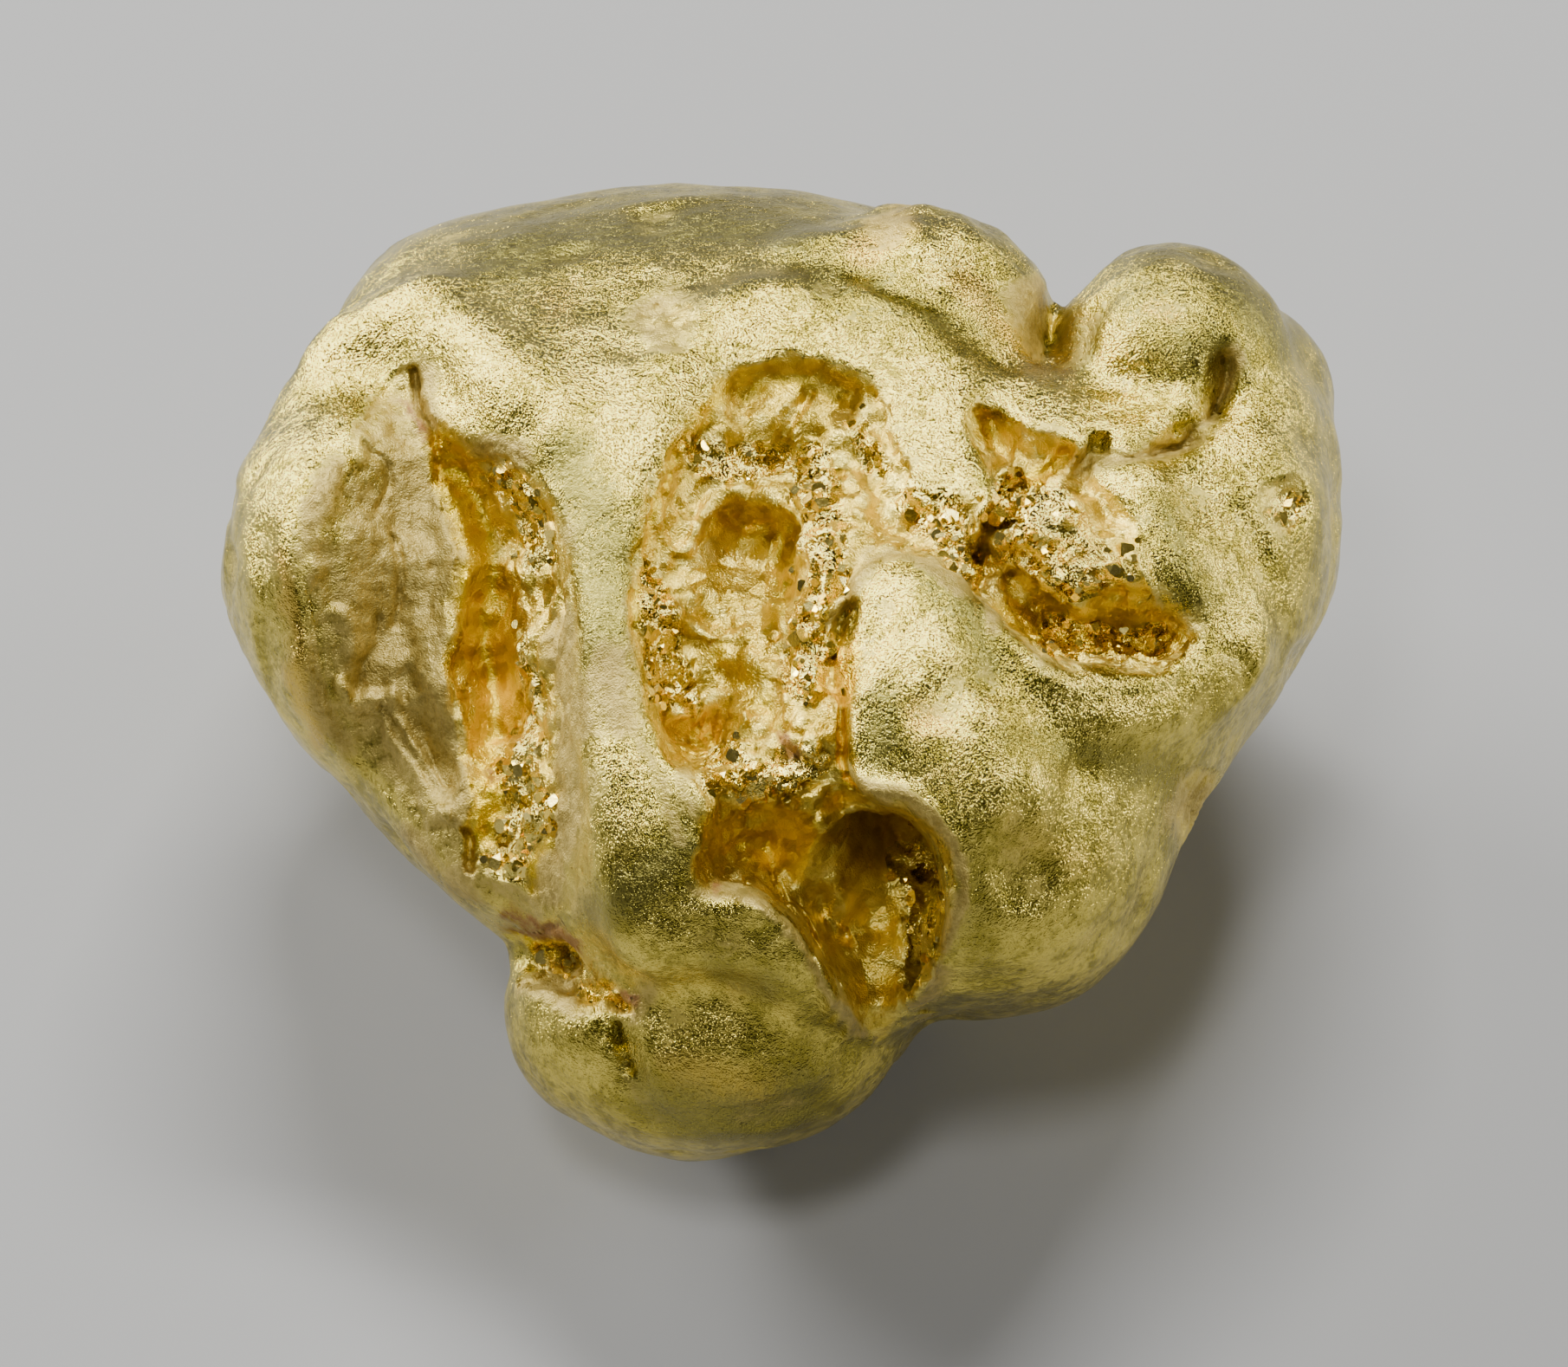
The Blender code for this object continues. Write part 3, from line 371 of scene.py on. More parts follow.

# Painted light is drawn here too: shade strokes on the outside, glow strokes in deep places, and glint strokes that
# also lighten the crust's colour.
TINTS = (
    Tint(Stain.PAINTED_GLOW, ((-5.45, 3.70), (-5.05, 2.70), (-4.85, 1.50), (-4.70, 0.30), (-4.62, -0.80), (-4.75, -2.40)), 0.45),
    Tint(Stain.PAINTED_GLOW, ((0.60, -2.60), (1.20, -3.40), (1.60, -4.30), (1.50, -5.30)), 0.80, 0.35),
    Tint(Stain.PAINTED_GLOW, ((1.00, 0.60), (0.85, -0.60), (0.95, -1.80)), 0.16),
    Tint(Stain.PAINTED_GLOW, ((3.10, 1.40), (3.48, 2.65)), 0.13),
    Tint(Stain.PAINTED_GLOW, ((3.40, 1.00), (4.00, 0.60), (5.00, 0.35), (6.10, 0.50)), 0.26, 0.8),
    Tint(Stain.PAINTED_GLOW, ((-0.90, 4.55), (-1.50, 3.80), (-2.00, 2.40), (-2.22, 1.00), (-2.15, 0.00)), 0.16, 0.75),
    Tint(Stain.PAINTED_GLOW, ((3.98, 3.02), (4.40, 3.42)), 0.20),
    Tint(Stain.PAINTED_GLOW, ((-3.75, -2.70), (-3.80, -3.50)), 0.20, 0.9),
    Tint(Stain.PAINTED_GLOW, ((-1.00, -2.30), (-0.40, -2.90), (0.30, -2.60)), 0.45, 0.75),
    Tint(Stain.PAINTED_GLOW, ((-1.30, -1.00),), 0.42, 0.9),
    Tint(Stain.PAINTED_GLOW, ((-0.90, 2.35), (-0.20, 2.20), (0.05, 1.60), (-0.15, 1.00)), 0.28, 0.65),
    Tint(Stain.PAINTED_GLOW, ((-0.90, 0.20), (-0.40, -0.40), (-0.10, -0.80)), 0.35, 0.6),
    Tint(Stain.PAINTED_GLOW, ((-0.60, 4.45), (0.20, 4.50), (0.90, 4.20)), 0.30, 0.55),
    Tint(Stain.PAINTED_GLOW, ((3.20, 4.10), (3.45, 3.60)), 0.28, 0.7),
    Tint(Stain.PAINTED_GLOW, ((-4.00, -4.50), (-3.20, -4.90), (-2.50, -5.20)), 0.22, 0.8),
    Tint(Stain.CLAY, ((0.90, 0.90), (1.20, 1.55), (2.00, 1.85), (2.90, 1.30), (3.30, 0.60)), 0.20, 0.75),
    Tint(Stain.CLAY, ((-3.42, 0.80), (-3.35, -1.00), (-3.45, -2.50), (-3.60, -3.60)), 0.32, 0.95),
    Tint(Stain.CLAY, ((4.80, 3.30), (5.40, 3.42), (6.30, 3.62), (6.95, 4.30), (7.05, 5.10)), 0.26, 0.75),
    Tint(Stain.CLAY, ((4.05, 5.25), (3.95, 6.10)), 0.32, 0.95),
    Tint(Stain.CLAY, ((1.00, -1.50), (1.45, -1.88), (2.05, -2.10), (2.60, -2.62), (2.80, -3.50), (2.60, -4.40)), 0.15),
    Tint(Stain.CLAY, ((2.45, -4.70), (2.20, -5.30)), 0.25, 0.8),
    Tint(Stain.CLAY, ((-1.40, -3.40), (-0.50, -3.58), (0.10, -4.00), (0.60, -4.80), (1.20, -5.70)), 0.13, 0.75),
    Tint(Stain.CLAY, ((1.75, 7.20),), 0.50, 0.8),
    Tint(Stain.CLAY, ((6.55, -2.10),), 0.42, 0.9),
    Tint(Stain.CLAY, ((-3.45, -4.90),), 0.55, 0.8),
    Tint(Stain.CLAY, ((-5.00, -3.30),), 0.60, 0.8),
    Tint(Stain.CLAY, ((-5.30, 7.00),), 0.35, 0.5),
    Tint(Stain.CLAY, ((-1.90, 5.75),), 0.35, 0.7),
    Tint(Stain.CLAY, ((-1.30, -2.10), (-1.45, -1.60)), 0.25, 0.6),
    Tint(Stain.IRON, ((0.05, -1.05), (0.25, -1.30)), 0.15),
    Tint(Stain.IRON, ((-4.35, -3.88), (-4.05, -3.98)), 0.17, 0.9),
    Tint(Stain.IRON, ((-4.20, -4.22), (-3.80, -4.12), (-3.30, -4.35)), 0.15, 0.95),
    Tint(Stain.PAINTED_GLOW, ((-4.30, -4.35), (-3.70, -4.50), (-3.00, -4.90)), 0.25, 0.9),
    Tint(Stain.IRON, ((-2.50, -5.02), (-2.35, -5.15)), 0.15),
    Tint(Stain.IRON, ((-1.10, 0.35),), 0.14, 0.7),
    Tint(Stain.IRON, ((-1.05, -3.35),), 0.14, 0.7),
    Tint(Stain.IRON, ((-4.55, -1.60),), 0.20, 0.7),
    Tint(Stain.IRON, ((-5.95, 4.20), (-5.70, 3.75)), 0.15, 0.8),
    Tint(Stain.WARM, ((-3.60, 5.80),), 0.70, 0.6),
    Tint(Stain.WARM, ((-7.90, 1.80), (-7.85, 0.80), (-7.60, -0.30), (-7.30, -1.10)), 0.24, 0.9),
    Tint(Stain.WARM, ((5.90, 5.90), (6.20, 5.70)), 0.30, 0.8),
    Tint(Stain.WARM, ((1.40, 6.80), (1.90, 7.20)), 0.45),
    Tint(Stain.WARM, ((2.90, 6.30), (3.60, 5.50), (4.00, 4.90)), 0.40, 0.8),
    Tint(Stain.WARM, ((4.80, 5.60), (4.55, 4.80)), 0.30, 0.9),
    # The foot's warm strokes are partly tan stain and partly painted shade on its underside.
    Tint(Stain.WARM, ((-0.70, -5.10),), 0.60, 0.5),
    Tint(Stain.WARM, ((-1.60, -6.30), (-0.40, -6.60)), 0.70, 0.7),
    Tint(Stain.WARM, ((3.60, -2.50), (4.80, -3.00)), 0.80, 0.5),
    Tint(Stain.WARM, ((2.20, -0.75),), 0.50, 0.8),
    Tint(Stain.PAINTED_SHADE, ((-4.60, 6.60), (-3.20, 6.95), (-1.40, 7.10), (0.20, 7.00)), 0.55, 0.9),
    Tint(Stain.PAINTED_SHADE, ((-3.40, 3.50), (-3.00, 2.60), (-2.80, 1.60), (-2.75, 0.40)), 0.60),
    Tint(Stain.CLAY, ((-2.70, 0.20), (-2.60, -0.80)), 0.40, 0.8),
    Tint(Stain.PAINTED_SHADE, ((-1.80, -6.90), (-0.80, -7.20), (0.20, -6.90)), 0.80, 0.9),
    Tint(Stain.CLAY, ((-2.30, 0.60), (-2.30, -0.80), (-1.90, -1.80), (-1.50, -2.60)), 0.26, 0.6),
    Tint(Stain.PAINTED_SHADE, ((2.35, 1.45), (2.90, 0.90), (3.20, 0.10)), 0.40, 0.8),
    Tint(Stain.PAINTED_SHADE, ((1.55, -0.40), (1.60, -1.30)), 0.34, 0.8),
    Tint(Stain.PAINTED_SHADE, ((4.85, 5.50), (4.75, 4.90)), 0.35, 0.9),
    Tint(Stain.PAINTED_SHADE, ((7.10, 6.00), (7.90, 5.30)), 0.45, 0.8),
    Tint(Stain.PAINTED_SHADE, ((5.60, 6.10), (6.30, 5.60), (6.90, 5.10)), 0.80, 0.7),
    Tint(Stain.PAINTED_SHADE, ((0.40, 6.60), (1.40, 5.90), (3.20, 5.60)), 0.60, 0.6),
    Tint(Stain.PAINTED_SHADE, ((3.60, -1.10), (4.80, -1.25), (5.80, -1.60)), 0.40, 0.7),
    Tint(Stain.PAINTED_SHADE, ((-2.60, -3.60), (-2.00, -3.20), (-1.50, -2.60)), 0.45, 0.9),
    Tint(Stain.PAINTED_SHADE, ((-0.90, -4.70), (-0.20, -4.90)), 0.40, 0.7),
    Tint(Stain.PAINTED_SHADE, ((5.90, 2.60), (6.30, 1.90), (6.70, 1.20)), 0.38, 0.7),
    Tint(Stain.PAINTED_SHADE, ((2.80, -3.40), (3.20, -4.60)), 0.60, 0.5),
    Tint(Stain.PAINTED_SHADE, ((1.30, 6.30), (2.60, 5.60)), 0.45, 0.7),
    Tint(Stain.SMOOTH, ((-0.62, 1.85),), 0.92),
    Tint(Stain.SMOOTH, ((-0.60, 4.45), (0.20, 4.50), (0.95, 4.20)), 0.42, 0.9),
    Tint(Stain.SMOOTH, ((-0.55, -0.20), (-1.10, 0.10)), 0.40, 0.7),
    Tint(Stain.SMOOTH, ((-4.75, 2.60), (-4.65, 1.00), (-4.55, -0.60)), 0.42, 0.8),
    Tint(Stain.SMOOTH, ((-3.80, -2.90), (-3.80, -3.60)), 0.30, 0.7),
    Tint(Stain.SMOOTH, ((4.90, 2.60), (5.15, 1.90)), 0.34, 0.8),
    Tint(Stain.GLINT, ((0.45, 3.20), (0.62, 2.00), (0.45, 0.90), (0.35, 0.00)), 0.40),
    Tint(Stain.GLINT, ((2.10, 2.80), (2.60, 2.30), (2.90, 1.70)), 0.36),
    Tint(Stain.GLINT, ((-1.30, 3.50), (-0.80, 3.20), (-0.20, 3.30)), 0.38, 0.8),
    Tint(Stain.GLINT, ((-1.90, 1.60), (-1.90, 0.60), (-1.60, -0.40)), 0.30, 0.8),
    Tint(Stain.GLINT, ((-0.80, -1.50), (-0.20, -1.80), (0.30, -1.50)), 0.34),
    Tint(Stain.GLINT, ((1.90, -3.00), (2.20, -3.50), (2.10, -4.30)), 0.40),
    Tint(Stain.SMOOTH, ((0.50, -2.70), (1.10, -3.50), (1.40, -4.60)), 0.75, 0.95),
    Tint(Stain.GLINT, ((-4.50, 3.10), (-4.00, 2.60), (-3.80, 1.90)), 0.28),
    Tint(Stain.GLINT, ((-4.20, 0.60), (-4.10, -0.40), (-4.10, -1.20)), 0.30, 0.6),
    Tint(Stain.GLINT, ((-4.20, -1.70), (-4.00, -2.30), (-4.30, -3.20)), 0.32),
    Tint(Stain.GLINT, ((-3.70, -4.60), (-3.10, -4.80), (-2.60, -5.10)), 0.22),
    Tint(Stain.GLINT, ((3.60, 2.70), (4.30, 2.60), (4.90, 2.20), (5.10, 1.70)), 0.42),
    Tint(Stain.GLINT, ((3.80, 1.90), (4.30, 1.60), (4.80, 1.40)), 0.40, 0.9),
    Tint(Stain.GLINT, ((4.30, 0.55), (5.00, 0.38), (5.90, 0.55)), 0.22),
    Tint(Stain.GLINT, ((1.30, 4.00), (1.50, 3.30)), 0.26, 0.6),
    Tint(Stain.GLINT, ((8.00, 2.60),), 0.30, 0.8),
    Tint(Stain.GLINT, ((-1.90, 5.70),), 0.25, 0.5),
)


# ---------------------------------------------------------------- small tools


def only(obj: bpy.types.Object) -> None:
    """Leaves this object alone selected and active."""
    bpy.ops.object.select_all(action="DESELECT")
    obj.select_set(True)
    bpy.context.view_layer.objects.active = obj


def apply_modifier(obj: bpy.types.Object, kind: str, **settings: Any) -> None:
    """Adds one modifier with its settings to the object, and applies it.

    Args:
        obj: the object to change.
        kind: the modifier's type.
        settings: its properties by name.
    """
    only(obj)
    modifier = obj.modifiers.new(kind.lower(), kind)
    for name, value in settings.items():
        setattr(modifier, name, value)
    bpy.ops.object.modifier_apply(modifier=modifier.name)


def corners_of(mesh: bpy.types.Mesh) -> np.ndarray:
    """The mesh's vertex places, one row each."""
    flat = np.empty(len(mesh.vertices) * 3, np.float32)
    mesh.vertices.foreach_get("co", flat)
    return flat.reshape(-1, 3).astype(float)


def normals_of(mesh: bpy.types.Mesh) -> np.ndarray:
    """The mesh's vertex normals, one row each."""
    flat = np.empty(len(mesh.vertices) * 3, np.float32)
    mesh.vertex_normals.foreach_get("vector", flat)
    return flat.reshape(-1, 3).astype(float)


def set_corners(mesh: bpy.types.Mesh, places: np.ndarray) -> None:
    """Moves the mesh's vertices to these places."""
    mesh.vertices.foreach_set("co", places.astype(np.float32).ravel())
    mesh.update()


def store(mesh: bpy.types.Mesh, name: str, values: np.ndarray) -> None:
    """Keeps one number for each vertex under a name that a material can read."""
    layer = mesh.attributes.new(name, "FLOAT", "POINT")
    layer.data.foreach_set("value", values.astype(np.float32))


def kept_on(mesh: bpy.types.Mesh, stain: Stain) -> np.ndarray:
    """What the mesh keeps of one stain, one number a vertex."""
    values = np.empty(len(mesh.vertices), np.float32)
    mesh.attributes[stain.value].data.foreach_get("value", values)
    return values.astype(float)


def noise_at(places: np.ndarray, size: float, seed: float = 0.0) -> np.ndarray:
    """Smooth noise from -1 to 1 at each place, whose swells are about this size."""
    shift = Vector((seed, -seed, seed * 0.5))
    return np.array([noise.noise(Vector(place) / size + shift) for place in places])


def grains_at(places: np.ndarray, size: float, seed: float = 0.0) -> tuple[np.ndarray, np.ndarray]:
    """A field of packed grains, each with one flat face that leans its own way.

    Args:
        places: where to read it.
        size: how wide a grain is.
        seed: which field it is.

    Returns:
        How near each place is to a seam, from 0 in it to 1 away from it, and how far the lean of the
        grain's face carries the place out, in parts of the size.
    """
    shift = Vector((seed, seed * 2.0, -seed))
    insets = np.empty(len(places))
    leans = np.empty(len(places))
    for index, place in enumerate(places):
        spot = Vector(place) / size + shift
        gaps, middles = noise.voronoi(spot)
        insets[index] = min(1.0, (gaps[1] - gaps[0]) * 2.2)
        leans[index] = noise.noise_vector(middles[0] * 5.3).dot(spot - middles[0])
    return insets, leans


# ---------------------------------------------------------------- shader maths


class Wire:
    """One socket of a material's graph, on which arithmetic adds Math nodes."""

    def __init__(self, graph: "Graph", socket: bpy.types.NodeSocket) -> None:
        """Wraps a socket of the graph."""
        self.graph = graph
        self.socket = socket

    def _maths(self, operation: str, *values: Any, clamp: bool = False) -> "Wire":
        """A Math node on these values."""
        settings = {"operation": operation, "use_clamp": clamp}
        return self.graph.node("ShaderNodeMath", settings, dict(enumerate(values)))

    def __add__(self, other: Any) -> "Wire":
        """The sum."""
        return self._maths("ADD", self, other)

    def __sub__(self, other: Any) -> "Wire":
        """The difference."""
        return self._maths("SUBTRACT", self, other)

    def __rsub__(self, other: Any) -> "Wire":
        """The difference, the other way round."""
        return self._maths("SUBTRACT", other, self)

    def __mul__(self, other: Any) -> "Wire":
        """The product."""
        return self._maths("MULTIPLY", self, other)

    def __truediv__(self, other: Any) -> "Wire":
        """The quotient."""
        return self._maths("DIVIDE", self, other)

    def __pow__(self, other: Any) -> "Wire":
        """The power."""
        return self._maths("POWER", self, other)

    __radd__ = __add__
    __rmul__ = __mul__

    def beside(self, output: str) -> "Wire":
        """Another output of the same node."""
        return Wire(self.graph, self.socket.node.outputs[output])

    def held(self) -> "Wire":
        """The value, held between 0 and 1."""
        return self._maths("ADD", self, 0.0, clamp=True)

    def most(self, other: Any) -> "Wire":
        """The larger of the two."""
        return self._maths("MAXIMUM", self, other)

    def between(self, low: float, high: float) -> "Wire":
        """The value carried smoothly from 0 at low to 1 at high."""
        settings = {"interpolation_type": "SMOOTHSTEP"}
        return self.graph.node("ShaderNodeMapRange", settings, {0: self, 1: low, 2: high})


class Graph:
    """A material's node graph."""

    def __init__(self, name: str) -> None:
        """Starts a material with nothing but its output.

        Args:
            name: the material's name.
        """
        self.material = bpy.data.materials.new(name)
        self.material.use_nodes = True
        self.tree = self.material.node_tree
        self.tree.nodes.clear()

    def node(self, kind: str, settings: dict[str, Any], inputs: dict[Any, Any], output: Any = 0) -> Wire:
        """Adds a node.

        Args:
            kind: the node's type.
            settings: its properties, set before its sockets. The stops of a ramp are (place, colour).
            inputs: the value or wire of each of its sockets, by name or place.
            output: the socket to give back, by name or place.

        Returns:
            The wanted output.
        """
        made = self.tree.nodes.new(kind)
        for name, value in settings.items():
            if name == "stops":
                self._set_stops(made.color_ramp, value)
            else:
                setattr(made, name, value)
        for name, value in inputs.items():
            socket = made.inputs[name]
            if isinstance(value, Wire):
                self.tree.links.new(value.socket, socket)
            else:
                socket.default_value = value
        return Wire(self, made.outputs[output])

    @staticmethod
    def _set_stops(ramp: bpy.types.ColorRamp, stops: Iterable[tuple[float, Colour]]) -> None:
        """Gives a ramp its stops."""
        while len(ramp.elements) > 1:
            ramp.elements.remove(ramp.elements[-1])
        for index, (place, colour) in enumerate(stops):
            stop = ramp.elements[0] if index == 0 else ramp.elements.new(place)
            stop.position = place
            stop.color = (*colour, 1.0)

    def place_mm(self) -> Wire:
        """The place on the object, in millimetres."""
        place = self.node("ShaderNodeTexCoord", {}, {}, "Object")
        return self.node("ShaderNodeVectorMath", {"operation": "SCALE"}, {0: place, "Scale": 1 / MM})

    def kept(self, name: str) -> Wire:
        """The number that the mesh keeps under this name."""
        return self.node("ShaderNodeAttribute", {"attribute_name": name}, {}, "Fac")

    def noise(self, place: Wire, per_mm: float, detail: float = 3.0, roughness: float = 0.55) -> Wire:
        """Noise from 0 to 1 with this many swells to the millimetre."""
        inputs = {"Vector": place, "Scale": per_mm, "Detail": detail, "Roughness": roughness}
        return self.node("ShaderNodeTexNoise", {}, inputs)

    def cells(self, place: Wire, per_mm: float, feature: str = "F1") -> Wire:
        """A cell pattern with this many cells to the millimetre."""
        return self.node("ShaderNodeTexVoronoi", {"feature": feature}, {"Vector": place, "Scale": per_mm})

    def facets(self, place: Wire, per_mm: float) -> tuple[Wire, Wire]:
        """Small flat faces that each lean their own way.

        Args:
            place: where to read them, in millimetres.
            per_mm: how many there are to the millimetre.

        Returns:
            Their height in millimetres, and a tone from 0 to 1 that each has of its own.
        """
        cell = self.cells(place, per_mm)
        toward = self.node("ShaderNodeVectorMath", {"operation": "SUBTRACT"}, {0: place, 1: cell.beside("Position")})
        centred = {0: cell.beside("Color"), 1: (0.5, 0.5, 0.5)}
        lean = self.node("ShaderNodeVectorMath", {"operation": "SUBTRACT"}, centred)
        height = self.node("ShaderNodeVectorMath", {"operation": "DOT_PRODUCT"}, {0: toward, 1: lean}, "Value")
        tone = self.node("ShaderNodeSeparateColor", {}, {0: cell.beside("Color")}, 1)
        return height, tone

    def mix(self, share: Any, first: Any, second: Any) -> Wire:
        """A mix of two colours: none of the second at a share of 0, and all of it at 1."""
        ready = [colour if isinstance(colour, Wire) else (*colour, 1.0) for colour in (first, second)]
        inputs = {0: share, 6: ready[0], 7: ready[1]}
        return self.node("ShaderNodeMix", {"data_type": "RGBA"}, inputs, 2)

    def ramp(self, value: Wire, *stops: tuple[float, Colour]) -> Wire:
        """A colour read off a ramp."""
        return self.node("ShaderNodeValToRGB", {"stops": stops}, {0: value})

    def bump(self, height: Wire, strength: float, reach_mm: float, under: Wire | None = None) -> Wire:
        """A normal bent by a height in millimetres.

        Args:
            height: the height.
            strength: how much of it shows.
            reach_mm: how many millimetres a height of 1 stands for.
            under: another bump's normal, which this one is laid over.

        Returns:
            The bent normal.
        """
        inputs: dict[Any, Any] = {"Strength": strength, "Distance": reach_mm * MM, "Height": height}
        if under is not None:
            inputs["Normal"] = under
        return self.node("ShaderNodeBump", {}, inputs)

    def finish(self, **sockets: Any) -> bpy.types.Material:
        """Joins the surface's shader to the output.

        Args:
            sockets: the value or wire of each of the shader's sockets, with _ for each space.

        Returns:
            The material.
        """
        inputs = {name.replace("_", " "): value for name, value in sockets.items()}
        surface = self.node("ShaderNodeBsdfPrincipled", {}, inputs)
        output = self.tree.nodes.new("ShaderNodeOutputMaterial")
        self.tree.links.new(surface.socket, output.inputs["Surface"])
        return self.material


# ---------------------------------------------------------------- finishes


@dataclass(frozen=True)
class NativeGold:
    """Worn native gold: greenish and cream outside with painted shade, a painted orange glow in its hollows, clay and
    iron stains.
    """

    shade: Colour = (0.38, 0.31, 0.040)
    pale: Colour = (0.91, 0.735, 0.135)
    crust_dark: Colour = (0.66, 0.47, 0.055)
    crust_light: Colour = (0.98, 0.79, 0.17)
    # Painted glow: light bouncing deep in the hollows, laid on as colour.
    amber: Colour = (0.86, 0.60, 0.020)
    warm: Colour = (0.74, 0.50, 0.08)
    # Painted shade on the outside's dark patches.
    olive: Colour = (0.27, 0.235, 0.055)
    clay_light: Colour = (0.60, 0.45, 0.12)
    clay_dark: Colour = (0.34, 0.235, 0.045)
    iron: Colour = (0.30, 0.105, 0.014)

    def material(self) -> bpy.types.Material:
        """The finish as a material that reads the mesh's stains."""
        graph = Graph("native_gold_worn")
        place = graph.place_mm()
        crust = graph.kept(Stain.CRUST.value)
        glint = graph.kept(Stain.GLINT.value)
        broad = graph.noise(place, 0.55, 4.0)
        mottle = graph.noise(place, 2.2, 5.0, 0.65)
        fine = graph.noise(place, 9.0, 3.0, 0.68)
        speck = graph.noise(place, 30.0, 1.0, 0.7)
        lean, tone = graph.facets(place, 3.4)
        small_lean, _ = graph.facets(place, 7.5)

        # Painted shade: the outside is mottled darker and mixed toward a dark greenish tone where the shade strokes
        # lie.
        olive = graph.kept(Stain.PAINTED_SHADE.value)
        sheen = (broad * 0.35 + mottle * 0.60 + fine * 0.55 - olive * 0.14).between(0.60, 0.90)
        outside = graph.mix(sheen, self.shade, self.pale)
        warm = (graph.kept(Stain.WARM.value) * 0.9 + mottle * 0.7 + fine * 0.3).between(0.75, 1.35)
        outside = graph.mix(warm * 0.85, outside, self.warm)
        shaded = (olive * 0.75 + mottle * 0.9 + fine * 1.0).between(1.05, 1.75)
        outside = graph.mix(shaded * 0.8, outside, self.olive)
        seam = graph.kept(Stain.SEAM.value)
        smooth = graph.kept(Stain.SMOOTH.value)
        sparkle = (glint * 0.85 + mottle * 0.6 - smooth * 0.6).between(0.42, 0.85)
        # The crust's colour: mottled at random and by facet, lighter where glints are (painted highlight), darker in
        # the grains' seams (painted shade).
        crust_tone_and_painted_light = (0.24 + glint * 0.22 + mottle * 0.7 + fine * 0.25 + tone * sparkle * 0.35 - seam * 0.45).between(0.30, 1.00)
        within = graph.mix(crust_tone_and_painted_light, self.crust_dark, self.crust_light)
        metal = graph.mix(crust, outside, within)
        # Painted glow and shade: deep hollows and cracks turn a darker, saturated orange, as light bouncing inside
        # them would.
        amber = (graph.kept(Stain.PAINTED_GLOW.value) * 0.9 + mottle * 0.6 + fine * 0.3).between(0.72, 1.25)
        metal = graph.mix(amber * 0.9, metal, self.amber)

        clay = (graph.kept(Stain.CLAY.value) * 0.9 + mottle * 0.8 + fine * 0.4 - 0.2).between(0.62, 1.15)
        clay_tone = graph.mix((fine * 0.7 + mottle * 0.6).between(0.45, 0.85), self.clay_dark, self.clay_light)
        colour = graph.mix(clay * 0.9, metal, clay_tone)
        iron = (graph.kept(Stain.IRON.value) * 0.75 + mottle * 0.9 + fine * 0.9).between(1.15, 1.65)
        colour = graph.mix(iron * 0.85, colour, self.iron)

        dull = crust * (0.14 - sparkle * 0.24) + olive * 0.10
        roughness = 0.06 + mottle * 0.14 + fine * 0.13 + clay * 0.26 + iron * 0.30 + dull
        metallic = (1.0 - clay * 0.45 - iron * 0.75).held()
        dents = graph.bump(graph.noise(place, 4.2, 1.0) + mottle * 1.0, 0.42, 0.055)
        facets = graph.bump((lean * 1.4 + small_lean * 0.3) * crust * (0.35 + sparkle * 0.75), 1.0, 1.0, dents)
        pits = graph.cells(place, 4.6).between(0.05, 0.20) * 0.6
        grain = graph.bump(fine + speck * 0.7 + pits * (1.0 - crust) * 0.55, 0.95, 0.028, facets)
        return graph.finish(Base_Color=colour, Metallic=metallic, Roughness=roughness.most(0.10), Normal=grain)


@dataclass(frozen=True)
class CrystalGold:
    """The clean, bright gold of the small crystals in the hollows."""

    deep: Colour = (0.80, 0.56, 0.06)
    bright: Colour = (0.99, 0.80, 0.22)
    roughness: float = 0.17

    def material(self) -> bpy.types.Material:
        """The finish as a material that reads each crystal's own tone."""
        graph = Graph("crystal_gold")
        place = graph.place_mm()
        tone = graph.kept("tone")
        fine = graph.noise(place, 14.0, 3.0)
        colour = graph.mix((tone * 0.8 + fine * 0.4).between(0.15, 0.95), self.deep, self.bright)
        etched = graph.bump(graph.noise(place, 30.0, 2.0), 0.25, 0.010)
        return graph.finish(
            Base_Color=colour, Metallic=1.0, Roughness=self.roughness + fine * 0.16, Normal=etched,
        )


@dataclass(frozen=True)
class PaleFloor:
    """A plain pale matt floor."""

    tone: Colour = (0.31, 0.308, 0.302)
    roughness: float = 0.75

    def material(self) -> bpy.types.Material:
        """The finish as a material."""
        return Graph("pale_floor").finish(Base_Color=(*self.tone, 1.0), Roughness=self.roughness)


# ---------------------------------------------------------------- the nugget


